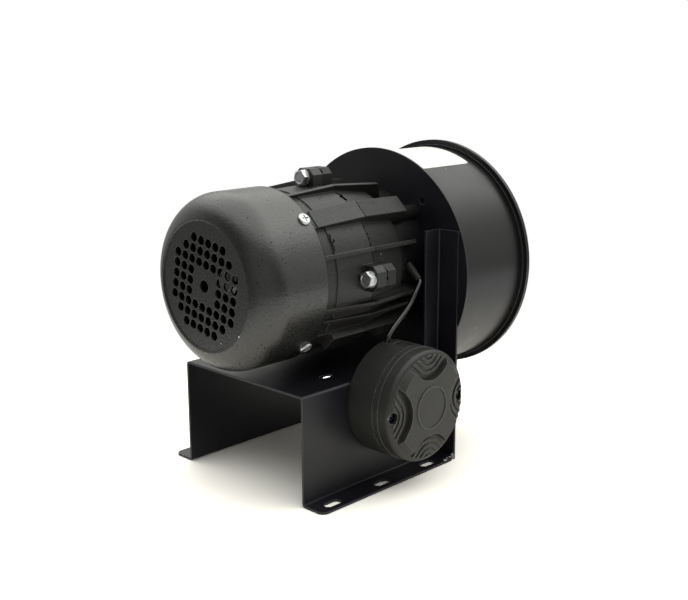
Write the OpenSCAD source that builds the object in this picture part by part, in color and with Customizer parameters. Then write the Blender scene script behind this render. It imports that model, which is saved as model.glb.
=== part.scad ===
// Small centrifugal fan: a flange motor on a bent sheet stand, a round drum casing set off the shaft
// so that it opens towards its outlet, and a squirrel-cage impeller behind a bell-mouthed inlet.
// +X runs along the shaft from the motor to the fan, the terminal box is on the -Y side.
// The origin is the middle of the foot slots, on the floor.

/* [Stand] */
// Thickness of the stand's sheet
sheet_t = 1.5; // [1:0.1:2.5]
// Inside radius of the sheet's bends
bend_r = 1; // [0.5:0.1:2]
// Width over the two walls
stand_w = 120; // [112:1:130]
// Length from the front edge to the face that carries the motor plate
stand_l = 136; // [132:1:150]
// Height of the top face above the floor
stand_h = 75.5; // [66:0.5:79]
// Width of a foot beyond its wall
foot_w = 18; // [16:0.5:24]
// Corner radius of the feet
foot_corner_r = 5; // [2:0.5:7]
// Distance of a foot slot from the wall
foot_slot_out = 10.5; // [8:0.25:11]
// Distance of the first foot slot from the front edge
slot_first = 16; // [14:1:20]
// Pitch of the three slots of a foot
slot_pitch = 48; // [40:1:50]
// Length of a slot, end to end
slot_l = 14; // [10:0.5:18]
// Width of a slot
slot_w = 6.5; // [5:0.25:7]
// Distance between the rows of slots in the top plate
top_slot_gap = 76; // [60:1:90]
// Distance of the first top slot from the front edge
top_slot_first = 42.7; // [25:0.1:45]
// Length of a slot in the top plate
top_slot_l = 11; // [9:0.5:14]
// Width of a slot in the top plate
top_slot_w = 5.5; // [4.5:0.25:6.5]
// Pitch of the top slots along the shaft
top_slot_pitch = 70; // [40:1:72]
// Length of an ear along the shaft
ear_l = 16; // [12:0.5:20]
// Height of an ear's top above the floor
ear_h = 168; // [120:1:175]
// Width of the ear's flange
ear_flange_w = 17; // [14:0.5:22]

/* [Motor] */
// Height of the shaft above the floor
shaft_z = 143.5; // [142:0.5:150]
// Radius of the castings at their parting
split_r = 57; // [55:0.25:58]
// Radius of the front casting's body at its front end
front_body_r = 52.5; // [51.5:0.25:54]
// Radius of the rear casting's body at its rear end
rear_body_r = 56; // [54:0.25:57]
// Radius of the bore that holds the stator
bore_r = 46.3; // [45:0.1:47]
// Length from the motor plate to the parting of the two castings
front_l = 65.5; // [62:0.5:68]
// Length of the body behind the parting
rear_l = 33.5; // [32:0.5:38]
// Radius of the band between the body and the cowl
band_r = 55.2; // [53:0.2:56]
// Length of that band
band_l = 25; // [24:0.5:28]
// Radius of the front shield
shield_r = 47; // [46:0.25:49]
// Length of the front shield
shield_l = 29; // [27:0.5:31]
// Wall of the front shield
shield_wall = 5.5; // [4:0.25:6]
// Thickness of the end shields
shield_t = 8; // [6:0.5:9]
// Distance of the wide ribs' flat tops from the shaft at the parting
wide_rib_r = 62.5; // [60:0.25:63]
// Width of the wide ribs
wide_rib_w = 13.5; // [11:0.5:16]
// Distance of the thin ribs' tops from the shaft at the parting
thin_rib_r = 61; // [59:0.25:62]
// Thickness of the thin ribs
thin_rib_t = 2.6; // [2:0.1:4]
// Angle between a lug and the thin ribs beside it
thin_rib_turn = 18; // [15:0.5:20]
// Angle of the two low ribs below the side lugs
low_rib_turn = 27; // [25:0.5:30]
// Distance of the lugs' outer faces from the shaft
lug_r = 68.5; // [67:0.5:72]
// Width of a lug
lug_w = 17.5; // [16:0.5:20]
// Bevel of a lug's outer corners
lug_bevel = 4; // [2:0.25:5]
// Length of a lug in front of the parting
lug_front_l = 8.5; // [7:0.5:12]
// Length of a lug behind the parting
lug_rear_l = 9.5; // [9:0.5:14]
// Distance of the lug bolts from the shaft
bolt_circle_r = 62.3; // [61.5:0.1:63]
// Radius of the lug bolts
bolt_r = 3; // [2.5:0.25:3.5]
// Width across flats of the lug bolts
bolt_flats = 10; // [8:0.5:11]
// Distance of the flange screws from the shaft
flange_circle_r = 48; // [47:0.5:50]
// Radius of the flange screws
flange_screw_r = 2.5; // [2:0.25:3]
// Radius of the spigot that centres the motor in its plate
spigot_r = 25; // [23:0.5:28]
// Radius of the shaft in its bearings
shaft_r = 6; // [5:0.25:7]
// Radius of a bearing
bearing_r = 16; // [15:0.5:18]
// Width of a bearing
bearing_w = 10; // [8:0.5:11]
// Length of the stator and rotor stacks
stack_l = 50; // [40:1:54]
// Radius of the rotor stack
rotor_r = 27.6; // [25:0.1:29]
// Number of stator slots
stator_slots = 24; // [12:4:36]

/* [Fan cowl] */
// Outside radius of the cowl
cowl_r = 59.5; // [59:0.1:61]
// Length of the cowl
cowl_l = 55.3; // [52:0.1:60]
// Wall of the cowl
cowl_t = 1.6; // [1:0.1:1.8]
// Radius of the cowl's rounded edge
cowl_edge_r = 21.5; // [15:0.5:22]
// Length of the rear casting that the cowl covers
cowl_cover_l = 13; // [11:0.5:16]
// Depth of the perforated face below the cowl's end
cowl_step = 1.4; // [1:0.1:2]
// Radius of the perforated face
cowl_step_r = 43; // [41:0.25:44]
// Pitch of the perforations
vent_pitch = 7.25; // [6.5:0.05:7.5]
// Diameter of a perforation
vent_d = 6.3; // [4:0.1:6.4]
// Diameter of the hole in the middle of the face
vent_mid_d = 8.5; // [6:0.5:10]
// Turn of the perforations about the shaft
vent_turn = -11; // [-45:1:45]
// Outside radius of the cooling fan
cooling_r = 49; // [40:0.5:51]
// Length of the cooling fan's blades
cooling_l = 20; // [12:0.5:22]
// Number of cooling fan blades
cooling_blades = 9; // [5:1:12]

/* [Drum casing] */
// Outside radius of the drum's wall
drum_r = 83.5; // [82:0.5:88]
// Length of the drum's wall along the shaft
drum_l = 69; // [67:0.5:74]
// Drop of the drum's axis below the shaft
drum_drop = 9.4; // [7:0.1:10]
// Shift of the drum's axis towards the outlet
drum_shift = 2.6; // [0:0.1:4]
// Thickness of the casing's sheet
casing_t = 1.2; // [0.8:0.1:1.6]
// Width of the front plate's rim beyond the wall
rim_w = 5; // [4:0.25:8]
// Length of the folded rim over the wall
rim_fold = 1.8; // [1.2:0.1:4]
// Width of the back plate's seam beyond the wall
seam_w = 2.5; // [1.5:0.25:3]
// Radius of the round motor plate
plate_r = 87; // [86.5:0.5:92]
// Thickness of the motor plate
plate_t = 1.5; // [1.2:0.1:3]
// Distance of the plate's spare holes from the shaft
spare_hole_circle_r = 60.2; // [59:0.2:66]
// Radius of the spare holes
spare_hole_r = 2.6; // [2:0.1:3.2]
// Height of the outlet
outlet_h = 60; // [50:1:64]
// Distance of the outlet's end from the shaft
outlet_reach = 98; // [96:0.5:110]
// Length of the tongue inside the drum
tongue_l = 11; // [6:0.5:13]
// Width of the outlet's flange
outlet_flange_w = 14; // [12:0.5:18]
// Thickness of the outlet's flange
outlet_flange_t = 2; // [1.5:0.1:4]
// Radius of the outlet flange's bolt holes
outlet_hole_r = 2.75; // [2:0.25:3.25]
// Distance of the inlet's throat inside the roots of the blades
inlet_in = 5; // [4:0.25:8]
// Radius of the inlet's bell mouth
mouth_r = 11; // [8:0.5:12]
// Width of the inlet ring's flange
inlet_flange_w = 8; // [7:0.5:10]

/* [Impeller] */
// Outside radius of the blades
blade_tip_r = 65; // [62:0.5:66]
// Radial depth of the blades
blade_depth = 13; // [11:0.25:13.5]
// Radius of a blade's curve
blade_curve_r = 13; // [11.5:0.25:18]
// Thickness of a blade
blade_t = 0.8; // [0.6:0.1:1.2]
// Length of the blades
blade_l = 46; // [42:0.5:48]
// Number of blades
blades = 36; // [24:1:42]
// Thickness of the impeller's disc and ring
wheel_t = 1.5; // [1:0.1:2]
// Gap between the back of the casing and the impeller's disc
wheel_gap = 9; // [7:0.5:10]
// Radius of the impeller's hub
hub_r = 13; // [11:0.5:15]
// Length of the hub in front of the disc
hub_l = 16; // [12:0.5:20]

/* [Terminal box] */
// Radius of the box
box_r = 39; // [36:0.5:39.5]
// Depth of the base
base_d = 22; // [20:0.5:28]
// Wall of the base and the lid
box_wall = 2.2; // [1.6:0.1:3]
// Depth of the lid's skirt
lid_d = 14; // [12:0.5:16]
// Rounding of the lid's edge
lid_edge_r = 3.5; // [2:0.25:4]
// Rise of the lid's four-armed field
field_h = 3.8; // [1:0.1:4]
// Radius of the rounded nose of the lid's four bays
bay_r = 19; // [16:0.5:20]
// Distance of the bays' noses from the box's edge
bay_depth = 20; // [18:0.5:21]
// Thickness of the gasket
gasket_t = 0.8; // [0.5:0.1:1.5]
// Distance of the box from the stand's front edge
box_x = 80; // [70:0.5:80]
// Height of the box's centre above the floor
box_z = 58.7; // [45:0.1:59]
// Distance of the lid screws from the box's edge
lid_screw_in = 5; // [4.75:0.25:7]
// Distance between the screws that hold the box
box_screw_gap = 40; // [32:1:46]

/* [Hidden] */
$fn = 72;

// Colours of the paint, the castings, the plastic and the metals
paint = [0.07, 0.07, 0.08];
cast_paint = [0.15, 0.15, 0.14];
plastic = [0.13, 0.13, 0.12];
zinc = [0.75, 0.76, 0.78];
steel = [0.6, 0.61, 0.63];
copper = [0.72, 0.4, 0.2];
rubber = [0.05, 0.05, 0.05];

// Clearances: a seat that stays put, a running shaft, a bolt in its hole, and the overcut of a cut
seat_gap = 0.05;
run_gap = 0.05;
bolt_gap = 0.2;
air_gap = 0.4;
cut = 1;

// Sphere that rounds a pan head, as a multiple of the head's radius
pan_round = 1.6;

// Stand
slot_mid = slot_first + slot_pitch;
plate_x = stand_l - slot_mid;
wall_y = stand_w / 2;
bend_out_r = bend_r + sheet_t;
fold_x = stand_l - bend_out_r;

// Motor, measured from the motor plate towards the cowl
shield_taper_l = 3.5;
band_z = front_l + rear_l;
rear_z = band_z + band_l;
cowl_z = rear_z - cowl_cover_l;
front_bearing_z = 5;
bearing_lip = 2;
rear_bearing_z = rear_z - bearing_lip - bearing_w;
stack_z = (front_bearing_z + rear_bearing_z + bearing_w - stack_l) / 2;
bearing_boss_w = 5;
shaft_hole_gap = 1;
casting_in_r = shield_r - shield_wall;
shield_mid_r = shield_r - shield_wall / 2;
wall_mid_r = (bore_r + split_r) / 2;
parting_gap = 0.5;
parting_d = 0.8;
wide_rib_front_drop = 1.2;
wide_rib_rear_drop = 4;
wide_rib_front_r = wide_rib_r - wide_rib_front_drop;
wide_rib_rear_r = wide_rib_r - wide_rib_rear_drop;
wide_rib_end_z = 17;
wide_rib_slope = 6;
thin_rib_front_drop = 3;
thin_rib_rear_drop = 3.7;
thin_rib_front_r = thin_rib_r - thin_rib_front_drop;
thin_rib_rear_r = thin_rib_r - thin_rib_rear_drop;
thin_rib_end_z = 16;
thin_rib_slope = 5;
high_pad_step = 4;
low_pad_step = 15;
high_pad_l = cowl_cover_l + high_pad_step;
low_pad_l = cowl_cover_l + low_pad_step;
high_turns = [45, 135];
low_turns = [225, 315];
corner_turns = concat(high_turns, low_turns);
lug_turns = [0, 90, 180];
quarter_turns = [0, 90, 180, 270];
low_rib_turns = [-low_rib_turn, 180 + low_rib_turn];
lug_rib_turns = [for (turn = quarter_turns, side = [-1, 1]) turn + side * thin_rib_turn];
thin_rib_turns = concat(lug_rib_turns, low_rib_turns);
washer_r = 5.8;
washer_t = 1.6;
spot_d = 0.3;
spot_r = washer_r + bolt_gap;
lug_seat_z = front_l + lug_rear_l - spot_d;
bolt_head_h = 4;
bolt_reach = 5;
flange_boss_r = 5.5;
flange_boss_l = 20;
flange_screw_l = 12;
flange_head_r = 4.5;
flange_head_h = 3.2;
spigot_l = plate_t + casing_t;
winding_gap = 1;
winding_w = 9;
winding_l = 12;
winding_round_r = 2.5;
end_ring_l = 8;
end_ring_w = 10;
stator_gap_r = rotor_r + air_gap;
stator_tooth_d = 9;
stator_slot_w = 3.2;
shaft_step = 2;
rotor_bore_r = shaft_r + shaft_step;

// Cowl
cowl_in_r = cowl_r - cowl_t;
cowl_screw_r = 2;
cowl_screw_l = 7;
cowl_head_r = 4.4;
cowl_head_h = 2.2;
cowl_screw_z = 5;
pad_r = cowl_in_r - seat_gap;
vent_rows = [2, 3, 4, 4, 4, 4, 4, 3, 2];
vent_plain = 1;
cooling_gap = 6;
cooling_z = rear_z + cooling_gap;
cooling_hub_r = 13;
cooling_hub_l = 14;
cooling_disc_t = 2;
cooling_blade_t = 1.8;
clip_t = 1;
clip_w = 3;

// Drum, measured from the motor plate towards the inlet
back_z = plate_t;
wall_z = back_z + casing_t;
front_z = wall_z + drum_l;
drum_in_r = drum_r - casing_t;
rim_lip_w = 1.4;
rim_lip_l = 0.9;
outlet_x = outlet_reach - drum_shift;
outlet_mid_y = -drum_r + outlet_h / 2;
outlet_hole_w = drum_l + outlet_flange_w;
outlet_hole_h = outlet_h + outlet_flange_w;
blade_root_r = blade_tip_r - blade_depth;
inlet_r = blade_root_r - inlet_in;
inlet_hole_r = inlet_r + mouth_r;
inlet_lip_l = 3;
inlet_screw_r = 1.75;
inlet_head_r = 3.6;
inlet_head_h = 2;
inlet_screw_circle_r = inlet_hole_r + inlet_flange_w / 2;

// Impeller
disc_z = wall_z + wheel_gap;
blade_z = disc_z + wheel_t;
ring_z = blade_z + blade_l;
curve_centre_r = sqrt(blade_root_r * blade_root_r + blade_curve_r * blade_curve_r);
hub_back_l = 5;
hub_flange_w = 8;
hub_flange_r = hub_r + hub_flange_w;
hub_flange_t = 3;
hub_end_z = blade_z + hub_flange_t + hub_l;
set_screw_r = 2.5;
shaft_nose_l = 2;
shaft_tail_l = 4;
shaft_front_z = hub_end_z + shaft_nose_l;
shaft_rear_z = cooling_z + cooling_hub_l + shaft_tail_l;

// Terminal box, measured from the stand's wall outwards
gasket_z = base_d;
lid_z = base_d + gasket_t;
spigot_h = 3;
spigot_t = 1.4;
spigot_gap = 0.3;
field_r = box_r - lid_edge_r;
bay_nose = box_r - bay_depth;
lid_screw_gap = 2 * (box_r - lid_screw_in);
field_slope = 4;
field_ring_r = 15;
field_ring_w = 1;
field_ring_h = 0.5;
bay_turn = 50;
ridge_w = 1.5;
ridge_h = 0.9;
ridge_drops = [4, 8, 12, 15.5];
lid_rim_l = 4;
lid_rim_step = 0.5;
lid_well_r = 3.9;
lid_well_d = 4.5;
lid_boss_r = 5;
lid_boss_sink = 0.4;
lid_post_r = 4;
lid_screw_r = 1.75;
lid_head_r = 3.4;
lid_head_h = 2;
lid_floor_t = box_wall;
box_screw_r = 2;
box_head_r = 4;
box_head_h = 2.4;
box_screw_drop = 14;
box_nut_flats = 7;
box_nut_h = 3.2;
block_l = 34;
block_w = 16;
block_h = 13;
block_pitch = 10;
terminal_r = 2.6;
knockout_r = 6.5;
knockout_d = 1.2;
knockout_rim = 0.8;
lead_r = 1.75;
lead_sides = 8;
lead_hole_r = 2.4;

// Sleeve of the motor lead, from the stand's front edge
sleeve_from = [117, -46, 143];
sleeve_to = [117, -56.5, 133.5];
sleeve_wide_r = 3.6;
sleeve_narrow_r = 2.6;
lead_side = 3.4;
lead_box_y = -63;
lead_start = 2;
lead_in = 10;
lead_hole = [box_x - lead_side, lead_box_y, box_z + box_r];

// Route of the motor lead from its sleeve into the terminal box, from the stand's front edge
lead_route = [[117, -55, 134.84], [117, -57.24, 132.83], [115.8, -58, 131.2], [113.5, -58.5, 128.9],
    [110, -59.2, 125.4], [105, -59.8, 119.8], [99, -60.4, 115.2], [93, -60.9, 111.4], [86, -61.6, 107],
    [80, -62.3, 102.8], [77.6, -62.8, 99.8], [76.8, -63, 96.5], [76.6, -63, 93.7], [76.6, -63, 89.7]];

// Frames of the sub-assemblies
module from_front_edge() {
    translate([-slot_mid, 0, 0]) children();
}

module on_motor(z = 0) {
    translate([plate_x - z, 0, shaft_z]) rotate([90, 0, -90]) children();
}

module on_fan(z = 0) {
    translate([plate_x + z, 0, shaft_z]) rotate([90, 0, 90]) children();
}

module on_drum(z = 0) {
    on_fan(z) translate([drum_shift, -drum_drop, 0]) children();
}

module on_box(z = 0) {
    translate([box_x - slot_mid, -wall_y - z, box_z]) rotate([90, 0, 0]) children();
}

// Shapes that repeat
module slot_2d(l, w) {
    square([l - w, w], center = true);
    for (end = [-1, 1]) translate([end * (l - w) / 2, 0]) circle(d = w);
}

module ring_2d(outer_r, inner_r) {
    difference() {
        circle(outer_r);
        circle(inner_r);
    }
}

module tube(outer_r, inner_r, l) {
    linear_extrude(l) ring_2d(outer_r, inner_r);
}

// A flat plate that stands on the shaft's axis, drawn as radius against length
module radial_plate(turn, w) {
    rotate([0, 0, turn]) rotate([90, 0, 0]) linear_extrude(w, center = true) children();
}

module at_turns(turns, r) {
    for (turn = turns) rotate([0, 0, turn]) translate([r, 0, 0]) children();
}

module pan_screw(shank_r, shank_l, head_r, head_h) {
    translate([0, 0, -shank_l]) cylinder(r = shank_r, h = shank_l);
    intersection() {
        cylinder(r = head_r, h = head_h);
        translate([0, 0, head_h - head_r * pan_round]) sphere(head_r * pan_round);
    }
}

// Stand: one bent sheet
module quarter_bend_2d() {
    intersection() {
        ring_2d(bend_out_r, bend_r);
        translate([-bend_out_r, -bend_out_r]) square(bend_out_r);
    }
}

module arch_2d(w, h, r) {
    translate([-w / 2, bend_out_r]) square([w, h - r - bend_out_r]);
    translate([-w / 2 + r, bend_out_r]) square([w - 2 * r, h - bend_out_r]);
    for (side = [-1, 1]) translate([side * (w / 2 - r), h - r]) circle(r);
}

module bridge() {
    rotate([90, 0, 90]) linear_extrude(fold_x) {
        difference() {
            arch_2d(stand_w, stand_h, bend_out_r);
            arch_2d(stand_w - 2 * sheet_t, stand_h - sheet_t, bend_r);
        }
        for (side = [0, 1]) mirror([side, 0]) translate([wall_y + bend_r, bend_out_r]) quarter_bend_2d();
    }
}

module foot() {
    foot_l = stand_l - sheet_t;
    plain_w = foot_w - bend_r;
    linear_extrude(sheet_t) translate([0, wall_y + bend_r]) {
        square([foot_l, plain_w - foot_corner_r]);
        translate([foot_corner_r, 0]) square([foot_l - 2 * foot_corner_r, plain_w]);
        for (x = [foot_corner_r, foot_l - foot_corner_r]) {
            translate([x, plain_w - foot_corner_r]) circle(foot_corner_r);
        }
    }
}

module ear() {
    linear_extrude(ear_h) {
        translate([stand_l - ear_l, wall_y - sheet_t]) square([ear_l - bend_out_r, sheet_t]);
        translate([fold_x, wall_y + bend_r]) mirror([1, 0]) quarter_bend_2d();
        translate([stand_l - sheet_t, wall_y + bend_r]) square([sheet_t, ear_flange_w - bend_r]);
    }
}

module slot_cut(x, y, z, l, w) {
    translate([x, y, z - cut]) linear_extrude(sheet_t + 2 * cut) slot_2d(l, w);
}

module stand() {
    color(paint) difference() {
        from_front_edge() difference() {
            union() {
                bridge();
                for (side = [0, 1]) mirror([0, side, 0]) {
                    foot();
                    ear();
                }
            }
            for (side = [-1, 1]) {
                for (i = [0:2]) {
                    slot_cut(slot_first + i * slot_pitch, side * (wall_y + foot_slot_out), 0, slot_l, slot_w);
                }
                for (i = [0, 1]) {
                    slot_cut(top_slot_first + i * top_slot_pitch, side * top_slot_gap / 2, stand_h - sheet_t,
                        top_slot_l, top_slot_w);
                }
            }
        }
        on_box(-sheet_t - cut) at_box_screws() cylinder(r = box_screw_r + bolt_gap, h = sheet_t + 2 * cut);
    }
}

// Drum casing
module scroll_outline_2d(grow, reach) {
    circle(drum_r + grow);
    translate([0, -drum_r - grow]) square([reach, outlet_h + 2 * grow]);
}

module motor_plate() {
    color(paint) difference() {
        on_drum() cylinder(r = plate_r, h = plate_t);
        on_fan(-cut) {
            cylinder(r = spigot_r + seat_gap, h = plate_t + 2 * cut);
            at_turns(corner_turns, flange_circle_r) {
                cylinder(r = flange_screw_r + bolt_gap, h = plate_t + 2 * cut);
            }
            at_turns(corner_turns, spare_hole_circle_r) cylinder(r = spare_hole_r, h = plate_t + 2 * cut);
        }
    }
}

module casing_back() {
    color(paint) difference() {
        on_drum(back_z) linear_extrude(casing_t) scroll_outline_2d(seam_w, outlet_x);
        on_fan(back_z - cut) {
            cylinder(r = spigot_r + seat_gap, h = casing_t + 2 * cut);
            at_turns(corner_turns, flange_circle_r) {
                cylinder(r = flange_screw_r + bolt_gap, h = casing_t + 2 * cut);
            }
        }
    }
}

module scroll_wall() {
    tongue_y = -drum_r + outlet_h - casing_t;
    tongue_x = sqrt(drum_in_r * drum_in_r - tongue_y * tongue_y);
    color(paint) on_drum(wall_z) linear_extrude(drum_l) {
        difference() {
            scroll_outline_2d(0, outlet_x);
            scroll_outline_2d(-casing_t, outlet_x + cut);
        }
        translate([tongue_x - tongue_l, tongue_y]) square([tongue_l + casing_t, casing_t]);
        translate([tongue_x - tongue_l, tongue_y + casing_t / 2]) circle(d = casing_t);
    }
}

module casing_front() {
    color(paint) difference() {
        union() {
            on_drum(front_z) linear_extrude(casing_t) scroll_outline_2d(rim_w, outlet_x);
            on_drum(front_z - rim_fold) linear_extrude(rim_fold) difference() {
                scroll_outline_2d(rim_w, outlet_x);
                scroll_outline_2d(seat_gap, outlet_x + cut);
            }
            on_drum(front_z - rim_fold - rim_lip_l) linear_extrude(rim_lip_l) difference() {
                scroll_outline_2d(rim_lip_w, outlet_x);
                scroll_outline_2d(seat_gap, outlet_x + cut);
            }
        }
        on_fan(front_z - cut) {
            cylinder(r = inlet_hole_r, h = casing_t + 2 * cut);
            at_turns(corner_turns, inlet_screw_circle_r) {
                cylinder(r = inlet_screw_r + bolt_gap, h = casing_t + 2 * cut);
            }
        }
    }
}

// Bell mouth: a flat flange, a quarter round that rolls inwards, and a straight lip
module inlet_ring() {
    roll_in_r = mouth_r - casing_t;
    color(paint) on_fan(front_z + casing_t) difference() {
        rotate_extrude() {
            translate([inlet_hole_r, 0]) square([inlet_flange_w, casing_t]);
            translate([inlet_hole_r, casing_t - mouth_r]) intersection() {
                ring_2d(mouth_r, roll_in_r);
                translate([-mouth_r, 0]) square(mouth_r);
            }
            translate([inlet_r, casing_t - mouth_r - inlet_lip_l]) square([casing_t, inlet_lip_l]);
        }
        translate([0, 0, -cut]) at_turns(corner_turns, inlet_screw_circle_r) {
            cylinder(r = inlet_screw_r + bolt_gap, h = casing_t + 2 * cut);
        }
    }
}

module inlet_screws() {
    color(zinc) on_fan(front_z + 2 * casing_t) at_turns(corner_turns, inlet_screw_circle_r) {
        pan_screw(inlet_screw_r, 3 * casing_t, inlet_head_r, inlet_head_h);
    }
}

module outlet_flange() {
    flange_z = wall_z + drum_l / 2;
    color(paint) translate([plate_x + flange_z, outlet_reach, shaft_z - drum_drop + outlet_mid_y]) {
        rotate([-90, 0, 0]) linear_extrude(outlet_flange_t) difference() {
            square([drum_l + 2 * outlet_flange_w, outlet_h + 2 * outlet_flange_w], center = true);
            square([drum_l, outlet_h - 2 * casing_t], center = true);
            for (x = [-1, 1], y = [-1, 1]) {
                translate([x * outlet_hole_w / 2, y * outlet_hole_h / 2]) circle(outlet_hole_r);
            }
        }
    }
}

// Motor castings: drafted halves with ribs, which meet at the lugs
module front_wide_ribs() {
    for (turn = corner_turns) radial_plate(turn, wide_rib_w) polygon([
        [shield_mid_r, wide_rib_end_z], [shield_r, wide_rib_end_z],
        [wide_rib_front_r, wide_rib_end_z + wide_rib_slope], [wide_rib_r, front_l],
        [wall_mid_r, front_l], [wall_mid_r, stack_z], [shield_mid_r, shield_l]]);
}

// Behind the parting a wide rib ends at a pad, which carries the cowl
module rear_wide_ribs(turns, rib_end_r, pad_l) {
    for (turn = turns) radial_plate(turn, wide_rib_w) polygon([
        [wall_mid_r, front_l], [wide_rib_r, front_l],
        [rib_end_r, rear_z - pad_l], [wall_mid_r, rear_z - pad_l]]);
    intersection() {
        for (turn = turns) radial_plate(turn, wide_rib_w) {
            translate([wall_mid_r, front_l]) square([cowl_r - wall_mid_r, rear_z - front_l]);
        }
        translate([0, 0, front_l]) cylinder(r = pad_r, h = rear_z - front_l);
    }
}

module front_thin_ribs() {
    for (turn = thin_rib_turns) radial_plate(turn, thin_rib_t) polygon([
        [shield_mid_r, thin_rib_end_z], [shield_r, thin_rib_end_z],
        [thin_rib_front_r, thin_rib_end_z + thin_rib_slope], [thin_rib_r, front_l],
        [wall_mid_r, front_l], [wall_mid_r, stack_z], [shield_mid_r, shield_l]]);
}

module rear_thin_ribs() {
    for (turn = thin_rib_turns) radial_plate(turn, thin_rib_t) polygon([
        [wall_mid_r, front_l], [thin_rib_r, front_l], [thin_rib_rear_r, cowl_z],
        [thin_rib_rear_r, rear_z], [wall_mid_r, rear_z]]);
}

module lugs(from_z, to_z) {
    flat_w = lug_w - 2 * lug_bevel;
    translate([0, 0, from_z]) linear_extrude(to_z - from_z) for (turn = lug_turns) rotate(turn) polygon([
        [wall_mid_r, -lug_w / 2], [lug_r - lug_bevel, -lug_w / 2], [lug_r, -flat_w / 2],
        [lug_r, flat_w / 2], [lug_r - lug_bevel, lug_w / 2], [wall_mid_r, lug_w / 2]]);
}

module front_cavity_2d() {
    boss_r = bearing_r + bearing_boss_w;
    boss_end_z = front_bearing_z + bearing_w;
    polygon([[0, -spigot_l - cut], [shaft_r + shaft_hole_gap, -spigot_l - cut],
        [shaft_r + shaft_hole_gap, front_bearing_z], [bearing_r + seat_gap, front_bearing_z],
        [bearing_r + seat_gap, boss_end_z], [boss_r, boss_end_z], [boss_r, shield_t],
        [casting_in_r, shield_t], [casting_in_r, stack_z], [bore_r, stack_z],
        [bore_r, front_l + cut], [0, front_l + cut]]);
}

module rear_cavity_2d() {
    boss_r = bearing_r + bearing_boss_w;
    shield_z = rear_z - shield_t;
    seat_end_z = rear_bearing_z + bearing_w;
    polygon([[0, front_l - cut], [bore_r, front_l - cut], [bore_r, shield_z], [boss_r, shield_z],
        [boss_r, rear_bearing_z], [bearing_r + seat_gap, rear_bearing_z],
        [bearing_r + seat_gap, seat_end_z], [shaft_r + shaft_hole_gap, seat_end_z],
        [shaft_r + shaft_hole_gap, rear_z + cut], [0, rear_z + cut]]);
}

module front_housing() {
    color(cast_paint) difference() {
        on_motor() difference() {
            union() {
                rotate_extrude() polygon([[0, -spigot_l], [spigot_r, -spigot_l], [spigot_r, 0], [shield_r, 0],
                    [shield_r, shield_l], [front_body_r, shield_l + shield_taper_l],
                    [split_r, front_l], [0, front_l]]);
                front_wide_ribs();
                front_thin_ribs();
                lugs(front_l - lug_front_l, front_l);
                at_turns(corner_turns, flange_circle_r) cylinder(r = flange_boss_r, h = flange_boss_l);
            }
            rotate_extrude() front_cavity_2d();
            at_turns(lug_turns, bolt_circle_r) translate([0, 0, front_l - lug_front_l - cut]) {
                cylinder(r = bolt_r + bolt_gap, h = lug_front_l + 2 * cut);
            }
            at_turns(corner_turns, flange_circle_r) translate([0, 0, -cut]) {
                cylinder(r = flange_screw_r + seat_gap, h = flange_screw_l + cut);
            }
        }
        sleeve_hole();
    }
}

module rear_housing() {
    color(cast_paint) on_motor() difference() {
        union() {
            rotate_extrude() polygon([[0, front_l], [split_r, front_l], [rear_body_r, band_z],
                [band_r, band_z], [band_r, rear_z], [0, rear_z]]);
            rear_wide_ribs(high_turns, wide_rib_rear_r, high_pad_l);
            rear_wide_ribs(low_turns, wide_rib_r, low_pad_l);
            rear_thin_ribs();
            lugs(front_l, front_l + lug_rear_l);
        }
        rotate_extrude() rear_cavity_2d();
        at_turns(lug_turns, bolt_circle_r) {
            translate([0, 0, front_l - cut]) cylinder(r = bolt_r + bolt_gap, h = lug_rear_l + 2 * cut);
            translate([0, 0, lug_seat_z]) cylinder(r = spot_r, h = washer_t + bolt_head_h + cut);
        }
        translate([0, 0, front_l - cut]) tube(lug_r + cut, split_r - parting_d, cut + parting_gap);
        translate([0, 0, cowl_z + cowl_screw_z]) at_turns(corner_turns, pad_r) rotate([0, 90, 0]) {
            translate([0, 0, -cowl_screw_l]) cylinder(r = cowl_screw_r + seat_gap, h = cowl_screw_l + cut);
        }
    }
}

module stator_core() {
    color(steel) on_motor(stack_z) difference() {
        tube(bore_r - seat_gap, stator_gap_r, stack_l);
        for (i = [0:stator_slots - 1]) rotate([0, 0, i * 360 / stator_slots]) {
            translate([stator_gap_r - cut, -stator_slot_w / 2, -cut]) {
                cube([stator_tooth_d + cut, stator_slot_w, stack_l + 2 * cut]);
            }
        }
    }
}

// End turns of the windings, one round-cornered ring on each face of the stator
module stator_windings() {
    corner = winding_w - winding_round_r;
    inner_r = stator_gap_r + winding_gap;
    color(copper) for (z = [stack_z - winding_l, stack_z + stack_l]) on_motor(z) rotate_extrude() {
        translate([inner_r, winding_round_r]) square([winding_w, winding_l - 2 * winding_round_r]);
        translate([inner_r + winding_round_r, 0]) square([winding_w - 2 * winding_round_r, winding_l]);
        for (x = [winding_round_r, corner], y = [winding_round_r, winding_l - winding_round_r]) {
            translate([inner_r + x, y]) circle(winding_round_r);
        }
    }
}

module bearing() {
    tube(bearing_r, shaft_r + run_gap, bearing_w);
}

module front_bearing() {
    color(steel) on_motor(front_bearing_z + bearing_w) mirror([0, 0, 1]) bearing();
}

module rear_bearing() {
    color(steel) on_motor(rear_bearing_z) bearing();
}

module at_lug_bolts(z) {
    on_motor(z) at_turns(lug_turns, bolt_circle_r) children();
}

module lug_bolts() {
    seat_z = lug_seat_z + washer_t;
    shank_l = seat_z - front_l + bolt_reach;
    color(zinc) at_lug_bolts(seat_z) {
        translate([0, 0, -shank_l]) cylinder(r = bolt_r, h = shank_l);
        cylinder(d = bolt_flats / cos(30), h = bolt_head_h, $fn = 6);
    }
}

module lug_washers() {
    color(zinc) at_lug_bolts(lug_seat_z) tube(washer_r, bolt_r + bolt_gap, washer_t);
}

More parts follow.
